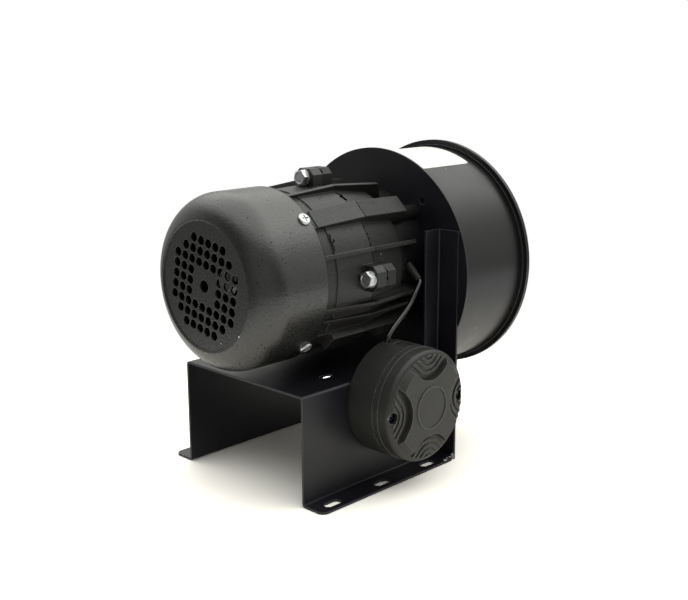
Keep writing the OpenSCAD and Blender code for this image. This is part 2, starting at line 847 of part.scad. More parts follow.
module flange_screws() {
    color(zinc) on_fan(wall_z) at_turns(corner_turns, flange_circle_r) {
        pan_screw(flange_screw_r, spigot_l + flange_screw_l - cut, flange_head_r, flange_head_h);
    }
}

// Cowl: a deep-drawn cap with a rounded edge and a perforated face
module cap_2d(r, l, edge_r) {
    square([r - edge_r, l]);
    square([r, l - edge_r]);
    translate([r - edge_r, l - edge_r]) intersection() {
        circle(edge_r);
        square(edge_r);
    }
}

module fan_cowl() {
    face_z = cowl_l - cowl_step;
    last_row = len(vent_rows) - 1;
    mid = last_row / 2;
    color(cast_paint) on_motor(cowl_z) difference() {
        rotate_extrude() difference() {
            cap_2d(cowl_r, cowl_l, cowl_edge_r);
            difference() {
                translate([0, -cut]) cap_2d(cowl_in_r, cowl_l - cowl_t + cut, cowl_edge_r - cowl_t);
                translate([0, face_z - cowl_t]) square([cowl_step_r + cowl_t, cowl_step + cowl_t]);
            }
            translate([0, face_z]) square([cowl_step_r, cowl_step + cut]);
        }
        translate([0, 0, face_z - cowl_t - cut]) rotate([0, 0, vent_turn]) {
            cylinder(d = vent_mid_d, h = cowl_t + 2 * cut);
            for (row = [0:last_row], column = [-vent_rows[row]:vent_rows[row]]) {
                if (max(abs(row - mid), abs(column)) > vent_plain) {
                    translate([column * vent_pitch, (mid - row) * vent_pitch, 0]) {
                        cylinder(d = vent_d, h = cowl_t + 2 * cut);
                    }
                }
            }
        }
        translate([0, 0, cowl_screw_z]) at_turns(corner_turns, cowl_in_r - cut) rotate([0, 90, 0]) {
            cylinder(r = cowl_screw_r + bolt_gap, h = cowl_t + 2 * cut);
        }
    }
}

module cowl_screws() {
    shank_l = cowl_r - pad_r + cowl_screw_l - cut;
    color(zinc) on_motor(cowl_z + cowl_screw_z) at_turns(corner_turns, cowl_r) rotate([0, 90, 0]) {
        pan_screw(cowl_screw_r, shank_l, cowl_head_r, cowl_head_h);
    }
}

// Terminal box
module at_box_screws() {
    for (side = [-1, 1]) translate([side * box_screw_gap / 2, -box_screw_drop, 0]) children();
}

module at_lid_screws() {
    for (side = [-1, 1]) translate([side * lid_screw_gap / 2, 0, 0]) children();
}

// The spigot centres the lid, and leaves room for the lid's screw bosses
module box_spigot() {
    translate([0, 0, base_d - spigot_h]) difference() {
        tube(box_r - box_wall, box_r - box_wall - spigot_t, 2 * spigot_h);
        translate([0, 0, spigot_h]) at_lid_screws() {
            cylinder(r = lid_boss_r + spigot_gap, h = spigot_h + cut);
        }
    }
}

module box_base() {
    color(plastic) difference() {
        on_box() difference() {
            union() {
                difference() {
                    cylinder(r = box_r, h = base_d);
                    translate([0, 0, box_wall]) cylinder(r = box_r - box_wall, h = base_d);
                }
                intersection() {
                    at_lid_screws() cylinder(r = lid_post_r, h = base_d);
                    cylinder(r = box_r, h = base_d);
                }
                box_spigot();
            }
            at_lid_screws() translate([0, 0, base_d / 2]) cylinder(r = lid_screw_r + seat_gap, h = base_d);
            at_box_screws() translate([0, 0, -cut]) {
                cylinder(r = box_screw_r + bolt_gap, h = box_wall + 2 * cut);
            }
            translate([0, box_r - knockout_d, base_d - knockout_rim - knockout_r]) rotate([-90, 0, 0]) {
                cylinder(r = knockout_r, h = 2 * knockout_d);
            }
        }
        from_front_edge() translate(lead_hole) {
            translate([0, 0, -lead_in]) cylinder(r = lead_hole_r, h = 2 * lead_in);
        }
    }
}

module box_gasket() {
    color(rubber) on_box(gasket_z) tube(box_r, box_r - box_wall + spigot_gap, gasket_t);
}

// Lid: a skirted cap with a raised four-armed field, and nested ridges in its four bays
// A bay is a round nose that opens outwards between two straight sides
module bay_2d(drop) {
    nose_r = bay_r - drop;
    translate([bay_nose + bay_r, 0]) {
        circle(nose_r);
        for (side = [0, 1]) mirror([0, side]) rotate(bay_turn) translate([0, -2 * box_r + nose_r]) {
            square([2 * box_r, 2 * box_r]);
        }
    }
}

module bay_ridges_2d() {
    for (drop = ridge_drops) difference() {
        bay_2d(drop);
        bay_2d(drop + ridge_w);
    }
}

module lid_field_2d() {
    difference() {
        circle(field_r);
        for (turn = quarter_turns) rotate(turn) bay_2d(0);
    }
}

// The field's arms slope down to the lid's edge
module lid_field() {
    intersection() {
        linear_extrude(field_h) lid_field_2d();
        cylinder(r1 = field_r, r2 = field_r - field_slope, h = field_h);
    }
}

module lid_ridges_2d() {
    intersection() {
        circle(field_r);
        for (turn = quarter_turns) rotate(turn) bay_ridges_2d();
    }
}

module box_lid() {
    skirt_r = box_r - lid_rim_step;
    inside_r = box_r - box_wall + spigot_gap;
    boss_l = lid_d - lid_floor_t + lid_boss_sink;
    color(plastic) on_box(lid_z) difference() {
        union() {
            rotate_extrude() difference() {
                union() {
                    square([box_r, lid_rim_l]);
                    cap_2d(skirt_r, lid_d, lid_edge_r);
                }
                translate([0, -cut]) square([inside_r, lid_d - lid_floor_t + cut]);
            }
            translate([0, 0, lid_d]) {
                lid_field();
                linear_extrude(ridge_h) lid_ridges_2d();
                tube(field_ring_r, field_ring_r - field_ring_w, field_h + field_ring_h);
            }
            intersection() {
                at_lid_screws() cylinder(r = lid_boss_r, h = boss_l);
                cylinder(r = inside_r + lid_boss_sink, h = boss_l);
            }
        }
        at_lid_screws() {
            translate([0, 0, -cut]) cylinder(r = lid_screw_r + bolt_gap, h = lid_d + 2 * cut);
            translate([0, 0, lid_d - lid_well_d]) cylinder(r = lid_well_r, h = lid_d);
        }
    }
}

module lid_screws() {
    seat_z = lid_z + lid_d - lid_well_d;
    color(zinc) on_box(seat_z) at_lid_screws() {
        pan_screw(lid_screw_r, seat_z - base_d / 2 - cut, lid_head_r, lid_head_h);
    }
}

module terminal_block() {
    color(plastic) on_box(box_wall) difference() {
        translate([-block_l / 2, -block_w / 2, 0]) cube([block_l, block_w, block_h]);
        for (i = [-1:1]) translate([i * block_pitch, 0, block_h / 3]) {
            cylinder(r = terminal_r + seat_gap, h = block_h);
        }
    }
}

module terminal_screws() {
    color(copper) on_box(box_wall + block_h / 3) for (i = [-1:1]) translate([i * block_pitch, 0, 0]) {
        cylinder(r = terminal_r, h = block_h / 2);
    }
}

module box_screws() {
    color(zinc) on_box(box_wall) at_box_screws() {
        pan_screw(box_screw_r, box_wall + sheet_t + box_nut_h + cut, box_head_r, box_head_h);
    }
}

module box_nuts() {
    color(zinc) on_box(-sheet_t - box_nut_h) at_box_screws() difference() {
        cylinder(d = box_nut_flats / cos(30), h = box_nut_h, $fn = 6);
        translate([0, 0, -cut]) cylinder(r = box_screw_r + seat_gap, h = box_nut_h + 2 * cut);
    }
}

// Lead: a tapered sleeve out of the front casting, and the lead swept along its route
function unit(v) = v / norm(v);
function tangent(path, i) = unit(path[min(i + 1, len(path) - 1)] - path[max(i - 1, 0)]);
function across(t) = unit(cross(t, [1, 0, 0]));

module along(from, to) {
    d = to - from;
    translate(from) rotate([0, acos(d[2] / norm(d)), atan2(d[1], d[0])]) children();
}

module sweep(path, r, sides) {
    rings = [for (i = [0:len(path) - 1])
        let (t = tangent(path, i), u = across(t), v = cross(t, u))
        for (k = [0:sides - 1]) path[i] + r * (cos(360 * k / sides) * u + sin(360 * k / sides) * v)];
    last = (len(path) - 1) * sides;
    polyhedron(rings, concat(
        [[for (k = [0:sides - 1]) sides - 1 - k]],
        [for (i = [0:len(path) - 2], k = [0:sides - 1])
            let (a = i * sides, n = (k + 1) % sides) [a + k, a + n, a + sides + n, a + sides + k]],
        [[for (k = [0:sides - 1]) last + k]]));
}

module sleeve_hole() {
    from_front_edge() along(sleeve_from, sleeve_to) {
        translate([0, 0, -cut]) cylinder(r = sleeve_wide_r + seat_gap, h = 2 * split_r);
    }
}

module lead_sleeve() {
    l = norm(sleeve_to - sleeve_from);
    color(rubber) from_front_edge() along(sleeve_from, sleeve_to) {
        difference() {
            cylinder(r1 = sleeve_wide_r, r2 = sleeve_narrow_r, h = l);
            translate([0, 0, l - lead_start - cut]) cylinder(r = lead_r + seat_gap, h = lead_start + 2 * cut);
        }
    }
}

// The lead starts straight inside the sleeve and ends straight inside the box
module motor_lead() {
    color(rubber) from_front_edge() sweep(lead_route, lead_r, lead_sides);
}

// Rotor: everything that turns with the shaft
module shaft() {
    color(steel) on_motor() {
        translate([0, 0, -shaft_front_z]) cylinder(r = shaft_r, h = shaft_front_z + shaft_rear_z);
        translate([0, 0, stack_z]) cylinder(r = rotor_bore_r, h = stack_l);
    }
}

module rotor_core() {
    color(steel) on_motor(stack_z) tube(rotor_r, rotor_bore_r + seat_gap, stack_l);
}

module rotor_end_rings() {
    color(zinc) for (z = [stack_z - end_ring_l, stack_z + stack_l]) on_motor(z) {
        tube(rotor_r - air_gap, rotor_r - end_ring_w, end_ring_l);
    }
}

module cooling_fan() {
    color(plastic) on_motor(cooling_z) difference() {
        union() {
            cylinder(r = cooling_hub_r, h = cooling_hub_l);
            cylinder(r = cooling_r, h = cooling_disc_t);
            for (i = [0:cooling_blades - 1]) rotate([0, 0, i * 360 / cooling_blades]) {
                translate([cooling_hub_r - cut, -cooling_blade_t / 2, 0]) {
                    cube([cooling_r - cooling_hub_r, cooling_blade_t, cooling_l]);
                }
            }
        }
        translate([0, 0, -cut]) cylinder(r = shaft_r + seat_gap, h = cooling_l + 2 * cut);
    }
}

module fan_clip() {
    color(zinc) on_motor(cooling_z + cooling_hub_l) difference() {
        tube(shaft_r + clip_w, shaft_r + seat_gap, clip_t);
        translate([0, -clip_w / 2, -cut]) cube([2 * shaft_r, clip_w, clip_t + 2 * cut]);
    }
}

module impeller_hub() {
    color(zinc) on_fan(disc_z - hub_back_l) difference() {
        union() {
            cylinder(r = hub_r, h = hub_end_z - disc_z + hub_back_l);
            translate([0, 0, hub_back_l + wheel_t]) cylinder(r = hub_flange_r, h = hub_flange_t);
        }
        translate([0, 0, -cut]) cylinder(r = shaft_r + seat_gap, h = hub_end_z);
        translate([0, 0, hub_end_z - disc_z + hub_back_l - hub_l / 2]) rotate([0, 90, 0]) {
            cylinder(r = set_screw_r + seat_gap, h = hub_r + cut);
        }
    }
}

module impeller_disc() {
    color(zinc) on_fan(disc_z) tube(blade_tip_r, hub_r + seat_gap, wheel_t);
}

// A forward-curved blade: an arc that leaves its root along the radius and leans ahead at its tip
module blade_2d() {
    intersection() {
        translate([curve_centre_r, 0]) ring_2d(blade_curve_r + blade_t / 2, blade_curve_r - blade_t / 2);
        ring_2d(blade_tip_r, blade_root_r);
        translate([0, -blade_tip_r]) square(blade_tip_r);
    }
}

module impeller_blades() {
    color(zinc) on_fan(blade_z) for (i = [0:blades - 1]) rotate([0, 0, i * 360 / blades]) {
        linear_extrude(blade_l) blade_2d();
    }
}

module impeller_ring() {
    color(zinc) on_fan(ring_z) tube(blade_tip_r, blade_root_r, wheel_t);
}

module set_screw() {
    color(steel) on_fan(hub_end_z - hub_l / 2) rotate([0, 90, 0]) {
        translate([0, 0, shaft_r + seat_gap]) cylinder(r = set_screw_r, h = hub_r - shaft_r - cut);
    }
}

stand();
motor_plate();
casing_back();
scroll_wall();
casing_front();
inlet_ring();
inlet_screws();
outlet_flange();
front_housing();
rear_housing();
stator_core();
stator_windings();
front_bearing();
rear_bearing();
fan_cowl();
cowl_screws();
lug_bolts();
lug_washers();
flange_screws();
box_base();
box_gasket();
box_lid();
lid_screws();
terminal_block();
terminal_screws();
box_screws();
box_nuts();
lead_sleeve();
motor_lead();
shaft();
rotor_core();
rotor_end_rings();
cooling_fan();
fan_clip();
impeller_hub();
impeller_disc();
impeller_blades();
impeller_ring();
set_screw();
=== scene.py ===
# %% [markdown]
# # A small centrifugal fan
# The fan is a flange motor on a bent sheet stand, with a round drum casing at its front and a round terminal box
# on one wall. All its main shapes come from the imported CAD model, which stays fixed. This lesson adds what CAD
# leaves out: the finishes, the fasteners' heads, the lead's round skin, the blank sticker and the small faults of
# a real part.

# %% Load the CAD model
import math
import random
import bmesh
import bpy
from mathutils import Matrix, Vector
from mathutils.bvhtree import BVHTree


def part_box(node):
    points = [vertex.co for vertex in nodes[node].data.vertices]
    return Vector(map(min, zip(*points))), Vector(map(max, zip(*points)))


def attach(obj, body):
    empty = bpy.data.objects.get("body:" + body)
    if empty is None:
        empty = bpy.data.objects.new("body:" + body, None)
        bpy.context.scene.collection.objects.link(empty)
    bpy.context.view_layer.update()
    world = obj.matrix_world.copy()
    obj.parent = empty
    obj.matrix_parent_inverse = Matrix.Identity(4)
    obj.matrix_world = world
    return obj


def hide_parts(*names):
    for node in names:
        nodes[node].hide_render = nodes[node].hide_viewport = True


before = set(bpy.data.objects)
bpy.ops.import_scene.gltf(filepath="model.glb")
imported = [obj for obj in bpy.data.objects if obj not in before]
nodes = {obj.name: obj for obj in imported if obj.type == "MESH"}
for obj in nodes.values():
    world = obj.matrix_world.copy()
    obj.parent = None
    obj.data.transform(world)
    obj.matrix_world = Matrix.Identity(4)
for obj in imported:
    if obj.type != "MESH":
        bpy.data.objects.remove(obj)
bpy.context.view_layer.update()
MM = 0.001

# %% [markdown]
# ## Camera
# The camera was fitted to straight edges and circles of the object, so its place and its focal length are numbers
# rather than a guess by eye. The focal length is in pixels of the picture, and Blender wants it in millimetres of
# the sensor, so the two are in proportion. Heading, dip and roll turn into three axes, which are the camera's
# matrix.

# %% Camera
PICTURE_W, PICTURE_H = 688, 600
FOCAL_PX = 1059.96
SENSOR_MM = 36
HEADING, DIP, ROLL = (math.radians(a) for a in (44.41, 13.21, 0.21))
EYE_MM = (-504.28, -528.63, 290.14)
eye = Vector(EYE_MM) * MM
forward = Vector((math.cos(HEADING) * math.cos(DIP), math.sin(HEADING) * math.cos(DIP), -math.sin(DIP)))
level = Vector((math.sin(HEADING), -math.cos(HEADING), 0))
above = level.cross(forward)
right = math.cos(ROLL) * level - math.sin(ROLL) * above
up = math.sin(ROLL) * level + math.cos(ROLL) * above
camera = bpy.data.objects.new("camera", bpy.data.cameras.new("camera"))
bpy.context.scene.collection.objects.link(camera)
camera.data.sensor_width = SENSOR_MM
camera.data.lens = FOCAL_PX * SENSOR_MM / PICTURE_W
camera.matrix_world = Matrix.Translation(eye) @ Matrix((right, up, -forward)).transposed().to_4x4()
bpy.context.scene.camera = camera
print("lens", round(camera.data.lens, 2), "mm")

# %% [markdown]
# ## Helpers for nodes and colours
# A colour is written as the hex value that a picture editor shows. Blender's shaders work in linear light, so one
# function does that change for every colour. A second small function adds a node with its settings and its links,
# and serves materials, the world and Geometry Nodes alike.

# %% Node and colour helpers
def linear(code):
    """A colour such as #808080 in linear light, with an alpha of one."""
    parts = [int(code[i:i + 2], 16) / 255 for i in (1, 3, 5)]
    return [p / 12.92 if p <= 0.04045 else ((p + 0.055) / 1.055) ** 2.4 for p in parts] + [1]


def add(tree, kind, sockets=None, **settings):
    """One new node: settings are its properties, and each socket gets a value or a link. Gives its outputs."""
    made = tree.nodes.new(kind)
    for name, value in settings.items():
        setattr(made, name, value)
    for name, value in (sockets or {}).items():
        if isinstance(value, bpy.types.NodeSocket):
            tree.links.new(value, made.inputs[name])
        else:
            made.inputs[name].default_value = value
    return made.outputs


print("mid grey in linear light:", round(linear("#808080")[0], 3))

# %% [markdown]
# ## Stage and light
# The fan stands on a white sweep in soft light. Black paint shows little but what it mirrors, so the dome is laid
# out by direction: a wide soft box overhead, a weaker one on the terminal box's side, a third behind the fan and
# two faint ones in front of the cowl, which lift its rounding and its face. Little light comes from elsewhere. The
# camera sees plain white behind the floor, and what mirrors the backdrop behind the fan sees the same white there.

# %% Soft boxes
# A soft box has its aim, the cosines of the angles from it where its light starts and is full, and a strength.
DOME_TINT, DOME_BASE = "#fffffb", 0.10
SOFT_BOXES = [
    (Vector((0.22, 0.15, 1)), 0.40, 0.82, 1.60),
    (level + 0.60 * above, 0.60, 0.98, 0.60),
    (Vector((0.1, 1, 0.3)), 0.60, 0.97, 0.50),
    (-forward, 0.55, 0.95, 0.25),
    (Vector((-0.7, 0.68, -0.15)), 0.75, 0.97, 0.10),
]
world = bpy.data.worlds.new("studio")
bpy.context.scene.world = world
world.use_nodes = True
sky = world.node_tree
sky.nodes.clear()
direction = add(sky, "ShaderNodeTexCoord")["Generated"]
strength = DOME_BASE
for aim, starts, full, light in SOFT_BOXES:
    facing = add(sky, "ShaderNodeVectorMath", {0: direction, 1: aim.normalized()},
                 operation="DOT_PRODUCT")["Value"]
    soft = add(sky, "ShaderNodeMapRange", {"Value": facing, "From Min": starts, "From Max": full, "To Max": light},
               interpolation_type="SMOOTHSTEP")[0]
    strength = add(sky, "ShaderNodeMath", {0: strength, 1: soft}, operation="ADD")[0]
dome = add(sky, "ShaderNodeBackground", {"Color": linear(DOME_TINT), "Strength": strength})[0]
print("dome:", DOME_BASE, "at its base, with", len(SOFT_BOXES), "soft boxes")

# %% White backdrop
WHITE = "#ffffff"
BACKDROP_STARTS, BACKDROP_FULL = 0.90, 0.97
rays = add(sky, "ShaderNodeLightPath")
mirrored = add(sky, "ShaderNodeMath", {0: rays["Is Glossy Ray"], 1: rays["Is Transmission Ray"]},
               operation="MAXIMUM")[0]
behind = add(sky, "ShaderNodeVectorMath", {0: direction, 1: forward}, operation="DOT_PRODUCT")["Value"]
behind = add(sky, "ShaderNodeMapRange", {
    "Value": behind, "From Min": BACKDROP_STARTS, "From Max": BACKDROP_FULL}, interpolation_type="SMOOTHSTEP")[0]
mirrored = add(sky, "ShaderNodeMath", {0: mirrored, 1: behind}, operation="MULTIPLY")[0]
seen = add(sky, "ShaderNodeMath", {0: rays["Is Camera Ray"], 1: mirrored}, operation="MAXIMUM")[0]
plain = add(sky, "ShaderNodeBackground", {"Color": linear(WHITE), "Strength": 1.0})[0]
mixed = add(sky, "ShaderNodeMixShader", {0: seen, 1: dome, 2: plain})[0]
add(sky, "ShaderNodeOutputWorld", {"Surface": mixed})
bpy.context.scene.view_settings.view_transform = "Standard"
print("backdrop:", WHITE)

# %% [markdown]
# ### Floor
# The floor is an ordinary white surface near the fan, so that it keeps the shadow, and goes over to plain white
# further out, where its edge would show. To the camera alone its colour is a little brighter than white, as in an
# overexposed picture: that whitens the floor and puts no more light on the fan.

# %% Floor
FLOOR_MIDDLE = Vector((0.16, -0.12, 0))
FLOOR_R, FLOOR_SIDES, FLOOR_DROP_MM = 0.60, 96, 0.2
sweep = bpy.data.meshes.new("floor")
turns = [i * math.tau / FLOOR_SIDES for i in range(FLOOR_SIDES)]
sweep.from_pydata([(FLOOR_MIDDLE.x + FLOOR_R * math.cos(a), FLOOR_MIDDLE.y + FLOOR_R * math.sin(a),
                    -FLOOR_DROP_MM * MM) for a in turns], [], [list(range(FLOOR_SIDES))])
floor = bpy.data.objects.new("floor", sweep)
bpy.context.scene.collection.objects.link(floor)
print("floor", FLOOR_R, "m from its middle to its edge")

# %% Paper on the floor
SHADE_MIDDLE = Vector((0.02, -0.01, 0))
SHADE_R, WHITE_R = 0.17, 0.40
PAPER_TONE, SEEN_GAIN = linear("#fffdf6"), 1.55
paper = bpy.data.materials.new("white paper sweep")
paper.use_nodes = True
tree = paper.node_tree
tree.nodes.clear()
place = add(tree, "ShaderNodeTexCoord")["Object"]
out = add(tree, "ShaderNodeVectorMath", {0: place, 1: SHADE_MIDDLE}, operation="DISTANCE")["Value"]
fade = add(tree, "ShaderNodeMapRange", {"Value": out, "From Min": SHADE_R, "From Max": WHITE_R},
           interpolation_type="SMOOTHSTEP")[0]
rays = add(tree, "ShaderNodeLightPath")
seen = add(tree, "ShaderNodeMath", {0: rays["Is Camera Ray"], 1: rays["Is Glossy Ray"]}, operation="MAXIMUM")[0]
seen = add(tree, "ShaderNodeMath", {0: seen, 1: rays["Is Transmission Ray"]}, operation="MAXIMUM")[0]
share = add(tree, "ShaderNodeMath", {0: fade, 1: seen}, operation="MULTIPLY")[0]
tone = add(tree, "ShaderNodeMix", {
    "Factor": rays["Is Camera Ray"], 6: PAPER_TONE, 7: [c * SEEN_GAIN for c in PAPER_TONE]}, data_type="RGBA")[2]
matt = add(tree, "ShaderNodeBsdfDiffuse", {"Color": tone})[0]
glow = add(tree, "ShaderNodeEmission", {"Color": linear(WHITE), "Strength": 1.0})[0]
mixed = add(tree, "ShaderNodeMixShader", {0: share, 1: matt, 2: glow})[0]
add(tree, "ShaderNodeOutputMaterial", {"Surface": mixed})
sweep.materials.append(paper)
print(paper.name, "keeps the shadow up to", SHADE_R, "m from the fan's middle")

# %% [markdown]
# ## Finishes
# Each finish is named for what the real one is. They all start from the same things: a material, its main shader,
# the object's own coordinates in metres and a normal that is rounded over the nearest edge. A pattern of half a
# millimetre then has a scale of one over half a millimetre. Where the rounded normal differs from the true one
# there is an edge, and paint thins and wears there first; where the edge colour is very pale, as on the terminal
# box, it is partly a painted highlight too.

# %% Start of a finish
EDGE_MM, EDGE_SAMPLES = 0.45, 6
EDGE_TONE_STARTS, EDGE_TONE_FULL = 0.99, 0.80
NOISE_LOW, NOISE_HIGH = 0.3, 0.7


def scale(size_mm):
    """The scale of a pattern whose cells have a size in millimetres."""
    return 1 / (size_mm * MM)


def new_finish(name):
    """A material: gives it with its tree, its shader, object coordinates and rounded normal."""
    made = bpy.data.materials.new(name)
    made.use_nodes = True
    tree = made.node_tree
    place = add(tree, "ShaderNodeTexCoord")["Object"]
    rounded = add(tree, "ShaderNodeBevel", {"Radius": EDGE_MM * MM}, samples=EDGE_SAMPLES)["Normal"]
    return made, tree, tree.nodes["Principled BSDF"], place, rounded


def edge_wear_and_highlight(tree, rounded, tone, bare):
    """The tone of a coat that changes to a paler colour along edges: wear, and where that colour is pale a painted
    highlight.
    """
    true = add(tree, "ShaderNodeNewGeometry")["Normal"]
    match = add(tree, "ShaderNodeVectorMath", {0: rounded, 1: true}, operation="DOT_PRODUCT")["Value"]
    edge = add(tree, "ShaderNodeMapRange", {"Value": match, "From Min": EDGE_TONE_STARTS, "From Max": EDGE_TONE_FULL})[0]
    return add(tree, "ShaderNodeMix", {"Factor": edge, 6: tone, 7: linear(bare)}, data_type="RGBA")[2]


def link(tree, shader, **sockets):
    """Links values to the shader's sockets, whose names have underscores for spaces here."""
    for name, value in sockets.items():
        tree.links.new(value, shader.inputs[name.replace("_", " ")])


print("edges are rounded over", EDGE_MM, "mm")

# %% [markdown]
# ### Coats on the sheet metal
# Stand and motor plate are sheet steel with a black satin powder coat. Powder flows together in the oven and
# leaves a faint orange peel about a millimetre across, so light spreads softly. The colour is a blue-black, and
# the coat is thin and greyer along the sheet's cut edges. The drum has a neutral black in a glossier enamel,
# which mirrors the white floor and so looks grey.

# %% Powder coat and enamel
PEEL_MM, PEEL_DEEP_MM, CLOUD_MM = 1.3, 0.012, 22
THIN_COAT = "#5b5b61"


def sheet_coat(name, dark, light, smooth, dull, mirror):
    """A coat on sheet metal with an orange peel, a cloudy gloss and worn edges."""
    made, tree, shader, place, rounded = new_finish(name)
    peel = add(tree, "ShaderNodeTexNoise", {"Vector": place, "Scale": scale(PEEL_MM), "Detail": 2})["Fac"]
    cloud = add(tree, "ShaderNodeTexNoise", {"Vector": place, "Scale": scale(CLOUD_MM), "Detail": 3})["Fac"]
    coat = add(tree, "ShaderNodeMix", {"Factor": cloud, 6: linear(dark), 7: linear(light)}, data_type="RGBA")[2]
    link(tree, shader,
         Base_Color=edge_wear_and_highlight(tree, rounded, coat, THIN_COAT),
         Roughness=add(tree, "ShaderNodeMapRange", {
             "Value": cloud, "From Min": NOISE_LOW, "From Max": NOISE_HIGH, "To Min": smooth, "To Max": dull})[0],
         Normal=add(tree, "ShaderNodeBump", {
             "Height": peel, "Distance": PEEL_DEEP_MM * MM, "Normal": rounded})["Normal"])
    shader.inputs["Specular IOR Level"].default_value = mirror
    return made


powder_coat = sheet_coat("satin black powder coat on sheet steel", "#0e0e15", "#16161e", 0.36, 0.46, 0.55)
enamel_coat = sheet_coat("black enamel on the drum", "#0f0f10", "#171718", 0.30, 0.40, 0.53)
print(powder_coat.name, "and", enamel_coat.name)

# %% [markdown]
# ### Textured paint on the castings and the cowl
# The motor is sprayed with a thick matt paint over rough castings and a pressed cowl. It gives the eye a warm dark
# grey whose shine is grainy, over a softer roll of the surface. Small dark pits come from the cells of a Voronoi
# pattern, and only in patches, as trapped dust leaves them. Cast and pressed edges are rounder than the CAD
# model's, so the shading normal is rounded further, except among the small vents. The shield round the motor's
# front end sits low between the ribs, in the shade of the plate and the ears, and that shade is painted: a
# distance from the shaft darkens its colour. The front casting, in the same shade, gets a darker and less
# mirroring copy of the rear casting's paint, which is painted shade as well.

# %% Pits in the paint
PIT_CELL_MM, PIT_EDGE, PIT_RIM = 3.2, 0.10, 0.17
PIT_PATCH_MM, PATCH_STARTS, PATCH_FULL = 11, 0.50, 0.58


def pitted(tree, place):
    """A value that is one on the paint and falls to zero in its pits."""
    cells = add(tree, "ShaderNodeTexVoronoi", {"Vector": place, "Scale": scale(PIT_CELL_MM)})["Distance"]
    pit = add(tree, "ShaderNodeMapRange", {"Value": cells, "From Min": PIT_EDGE, "From Max": PIT_RIM})[0]
    patch = add(tree, "ShaderNodeTexNoise", {"Vector": place, "Scale": scale(PIT_PATCH_MM), "Detail": 2})["Fac"]
    patch = add(tree, "ShaderNodeMapRange", {
        "Value": patch, "From Min": PATCH_STARTS, "From Max": PATCH_FULL})[0]
    return add(tree, "ShaderNodeMix", {"Factor": patch, 2: 1.0, 3: pit})[0]


print("pits in cells of", PIT_CELL_MM, "mm")

# %% Painted shade on the low shield
SHAFT_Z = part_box("shaft")[0].lerp(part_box("shaft")[1], 0.5).z
# Painted shade on the shield: close to the shaft and towards the front end its colour goes dark.
SHIELD_R_MM, SHIELD_FADE_MM = 48.5, 2.5
SHIELD_FROM_MM, SHIELD_TO_MM = 30, 36
SHIELD_PAINTED_SHADE = "#0b0b0e"


def with_painted_shield_shade(tree, place, reach, tone):
    """The tone of a casting with painted shade on the low shield at the motor's front end."""
    low = add(tree, "ShaderNodeMapRange", {
        "Value": reach, "From Min": SHIELD_R_MM * MM, "From Max": (SHIELD_R_MM + SHIELD_FADE_MM) * MM,
        "To Min": 1, "To Max": 0})[0]
    ahead = add(tree, "ShaderNodeSeparateXYZ", {"Vector": place})["X"]
    ahead = add(tree, "ShaderNodeMapRange", {
        "Value": ahead, "From Min": SHIELD_FROM_MM * MM, "From Max": SHIELD_TO_MM * MM})[0]
    shield = add(tree, "ShaderNodeMath", {0: low, 1: ahead}, operation="MULTIPLY")[0]
    return add(tree, "ShaderNodeMix", {"Factor": shield, 6: tone, 7: linear(SHIELD_PAINTED_SHADE)}, data_type="RGBA")[2]


print("the shaft is", round(SHAFT_Z / MM, 1), "mm above the floor")

# %% Casting paint
VENTS_R_MM, PLAIN_R_MM, SOFT_SAMPLES = 37, 40, 8
TONE_MM, ROLL_MM, GRAIN_MM = 14, 1.5, 0.9
GRAIN_LOW, GRAIN_HIGH = 0.32, 0.68
ROUGH_SPREAD, PIT_DEEP_MM, PIT_DARK = 0.06, 0.06, "#050505"


def matt_paint(name, dark, light, bare, soft_mm, deep_mm, grainy, rough, mirror):
    """Matt paint: a rolling surface, grainy shine, patches of pits, soft and paler edges, painted shade on the low
    shield.
    """
    made, tree, shader, place, rounded = new_finish(name)
    cloud = add(tree, "ShaderNodeTexNoise", {"Vector": place, "Scale": scale(TONE_MM), "Detail": 4})["Fac"]
    roll = add(tree, "ShaderNodeTexNoise", {"Vector": place, "Scale": scale(ROLL_MM), "Detail": 3})["Fac"]
    grain = add(tree, "ShaderNodeTexNoise", {"Vector": place, "Scale": scale(GRAIN_MM), "Detail": 4})["Fac"]
    pits = pitted(tree, place)
    across = add(tree, "ShaderNodeVectorMath", {0: place, 1: (0, 1, 1)}, operation="MULTIPLY")["Vector"]
    reach = add(tree, "ShaderNodeVectorMath", {0: across, 1: (0, 0, SHAFT_Z)}, operation="DISTANCE")["Value"]
    tone = add(tree, "ShaderNodeMix", {"Factor": cloud, 6: linear(dark), 7: linear(light)}, data_type="RGBA")[2]
    tone = edge_wear_and_highlight(tree, rounded, tone, bare)
    tone = add(tree, "ShaderNodeMix", {"Factor": pits, 6: linear(PIT_DARK), 7: tone}, data_type="RGBA")[2]
    soft = add(tree, "ShaderNodeMapRange", {
        "Value": reach, "From Min": VENTS_R_MM * MM, "From Max": PLAIN_R_MM * MM,
        "To Min": EDGE_MM * MM, "To Max": soft_mm * MM})[0]
    softened = add(tree, "ShaderNodeBevel", {"Radius": soft}, samples=SOFT_SAMPLES)["Normal"]
    low = add(tree, "ShaderNodeBump", {"Height": roll, "Distance": deep_mm * MM, "Normal": softened})["Normal"]
    shine = add(tree, "ShaderNodeMapRange", {
        "Value": grain, "From Min": GRAIN_LOW, "From Max": GRAIN_HIGH,
        "To Min": mirror - grainy, "To Max": mirror + grainy})[0]
    link(tree, shader,
         # the low shield's tone carries painted shade
         Base_Color=with_painted_shield_shade(tree, place, reach, tone),
         Specular_IOR_Level=add(tree, "ShaderNodeMath", {0: shine, 1: pits}, operation="MULTIPLY")[0],
         Roughness=add(tree, "ShaderNodeMapRange", {
             "Value": roll, "From Min": NOISE_LOW, "From Max": NOISE_HIGH,
             "To Min": rough - ROUGH_SPREAD, "To Max": rough + ROUGH_SPREAD})[0],
         Normal=add(tree, "ShaderNodeBump", {
             "Height": pits, "Distance": PIT_DEEP_MM * MM, "Normal": low})["Normal"])
    return made


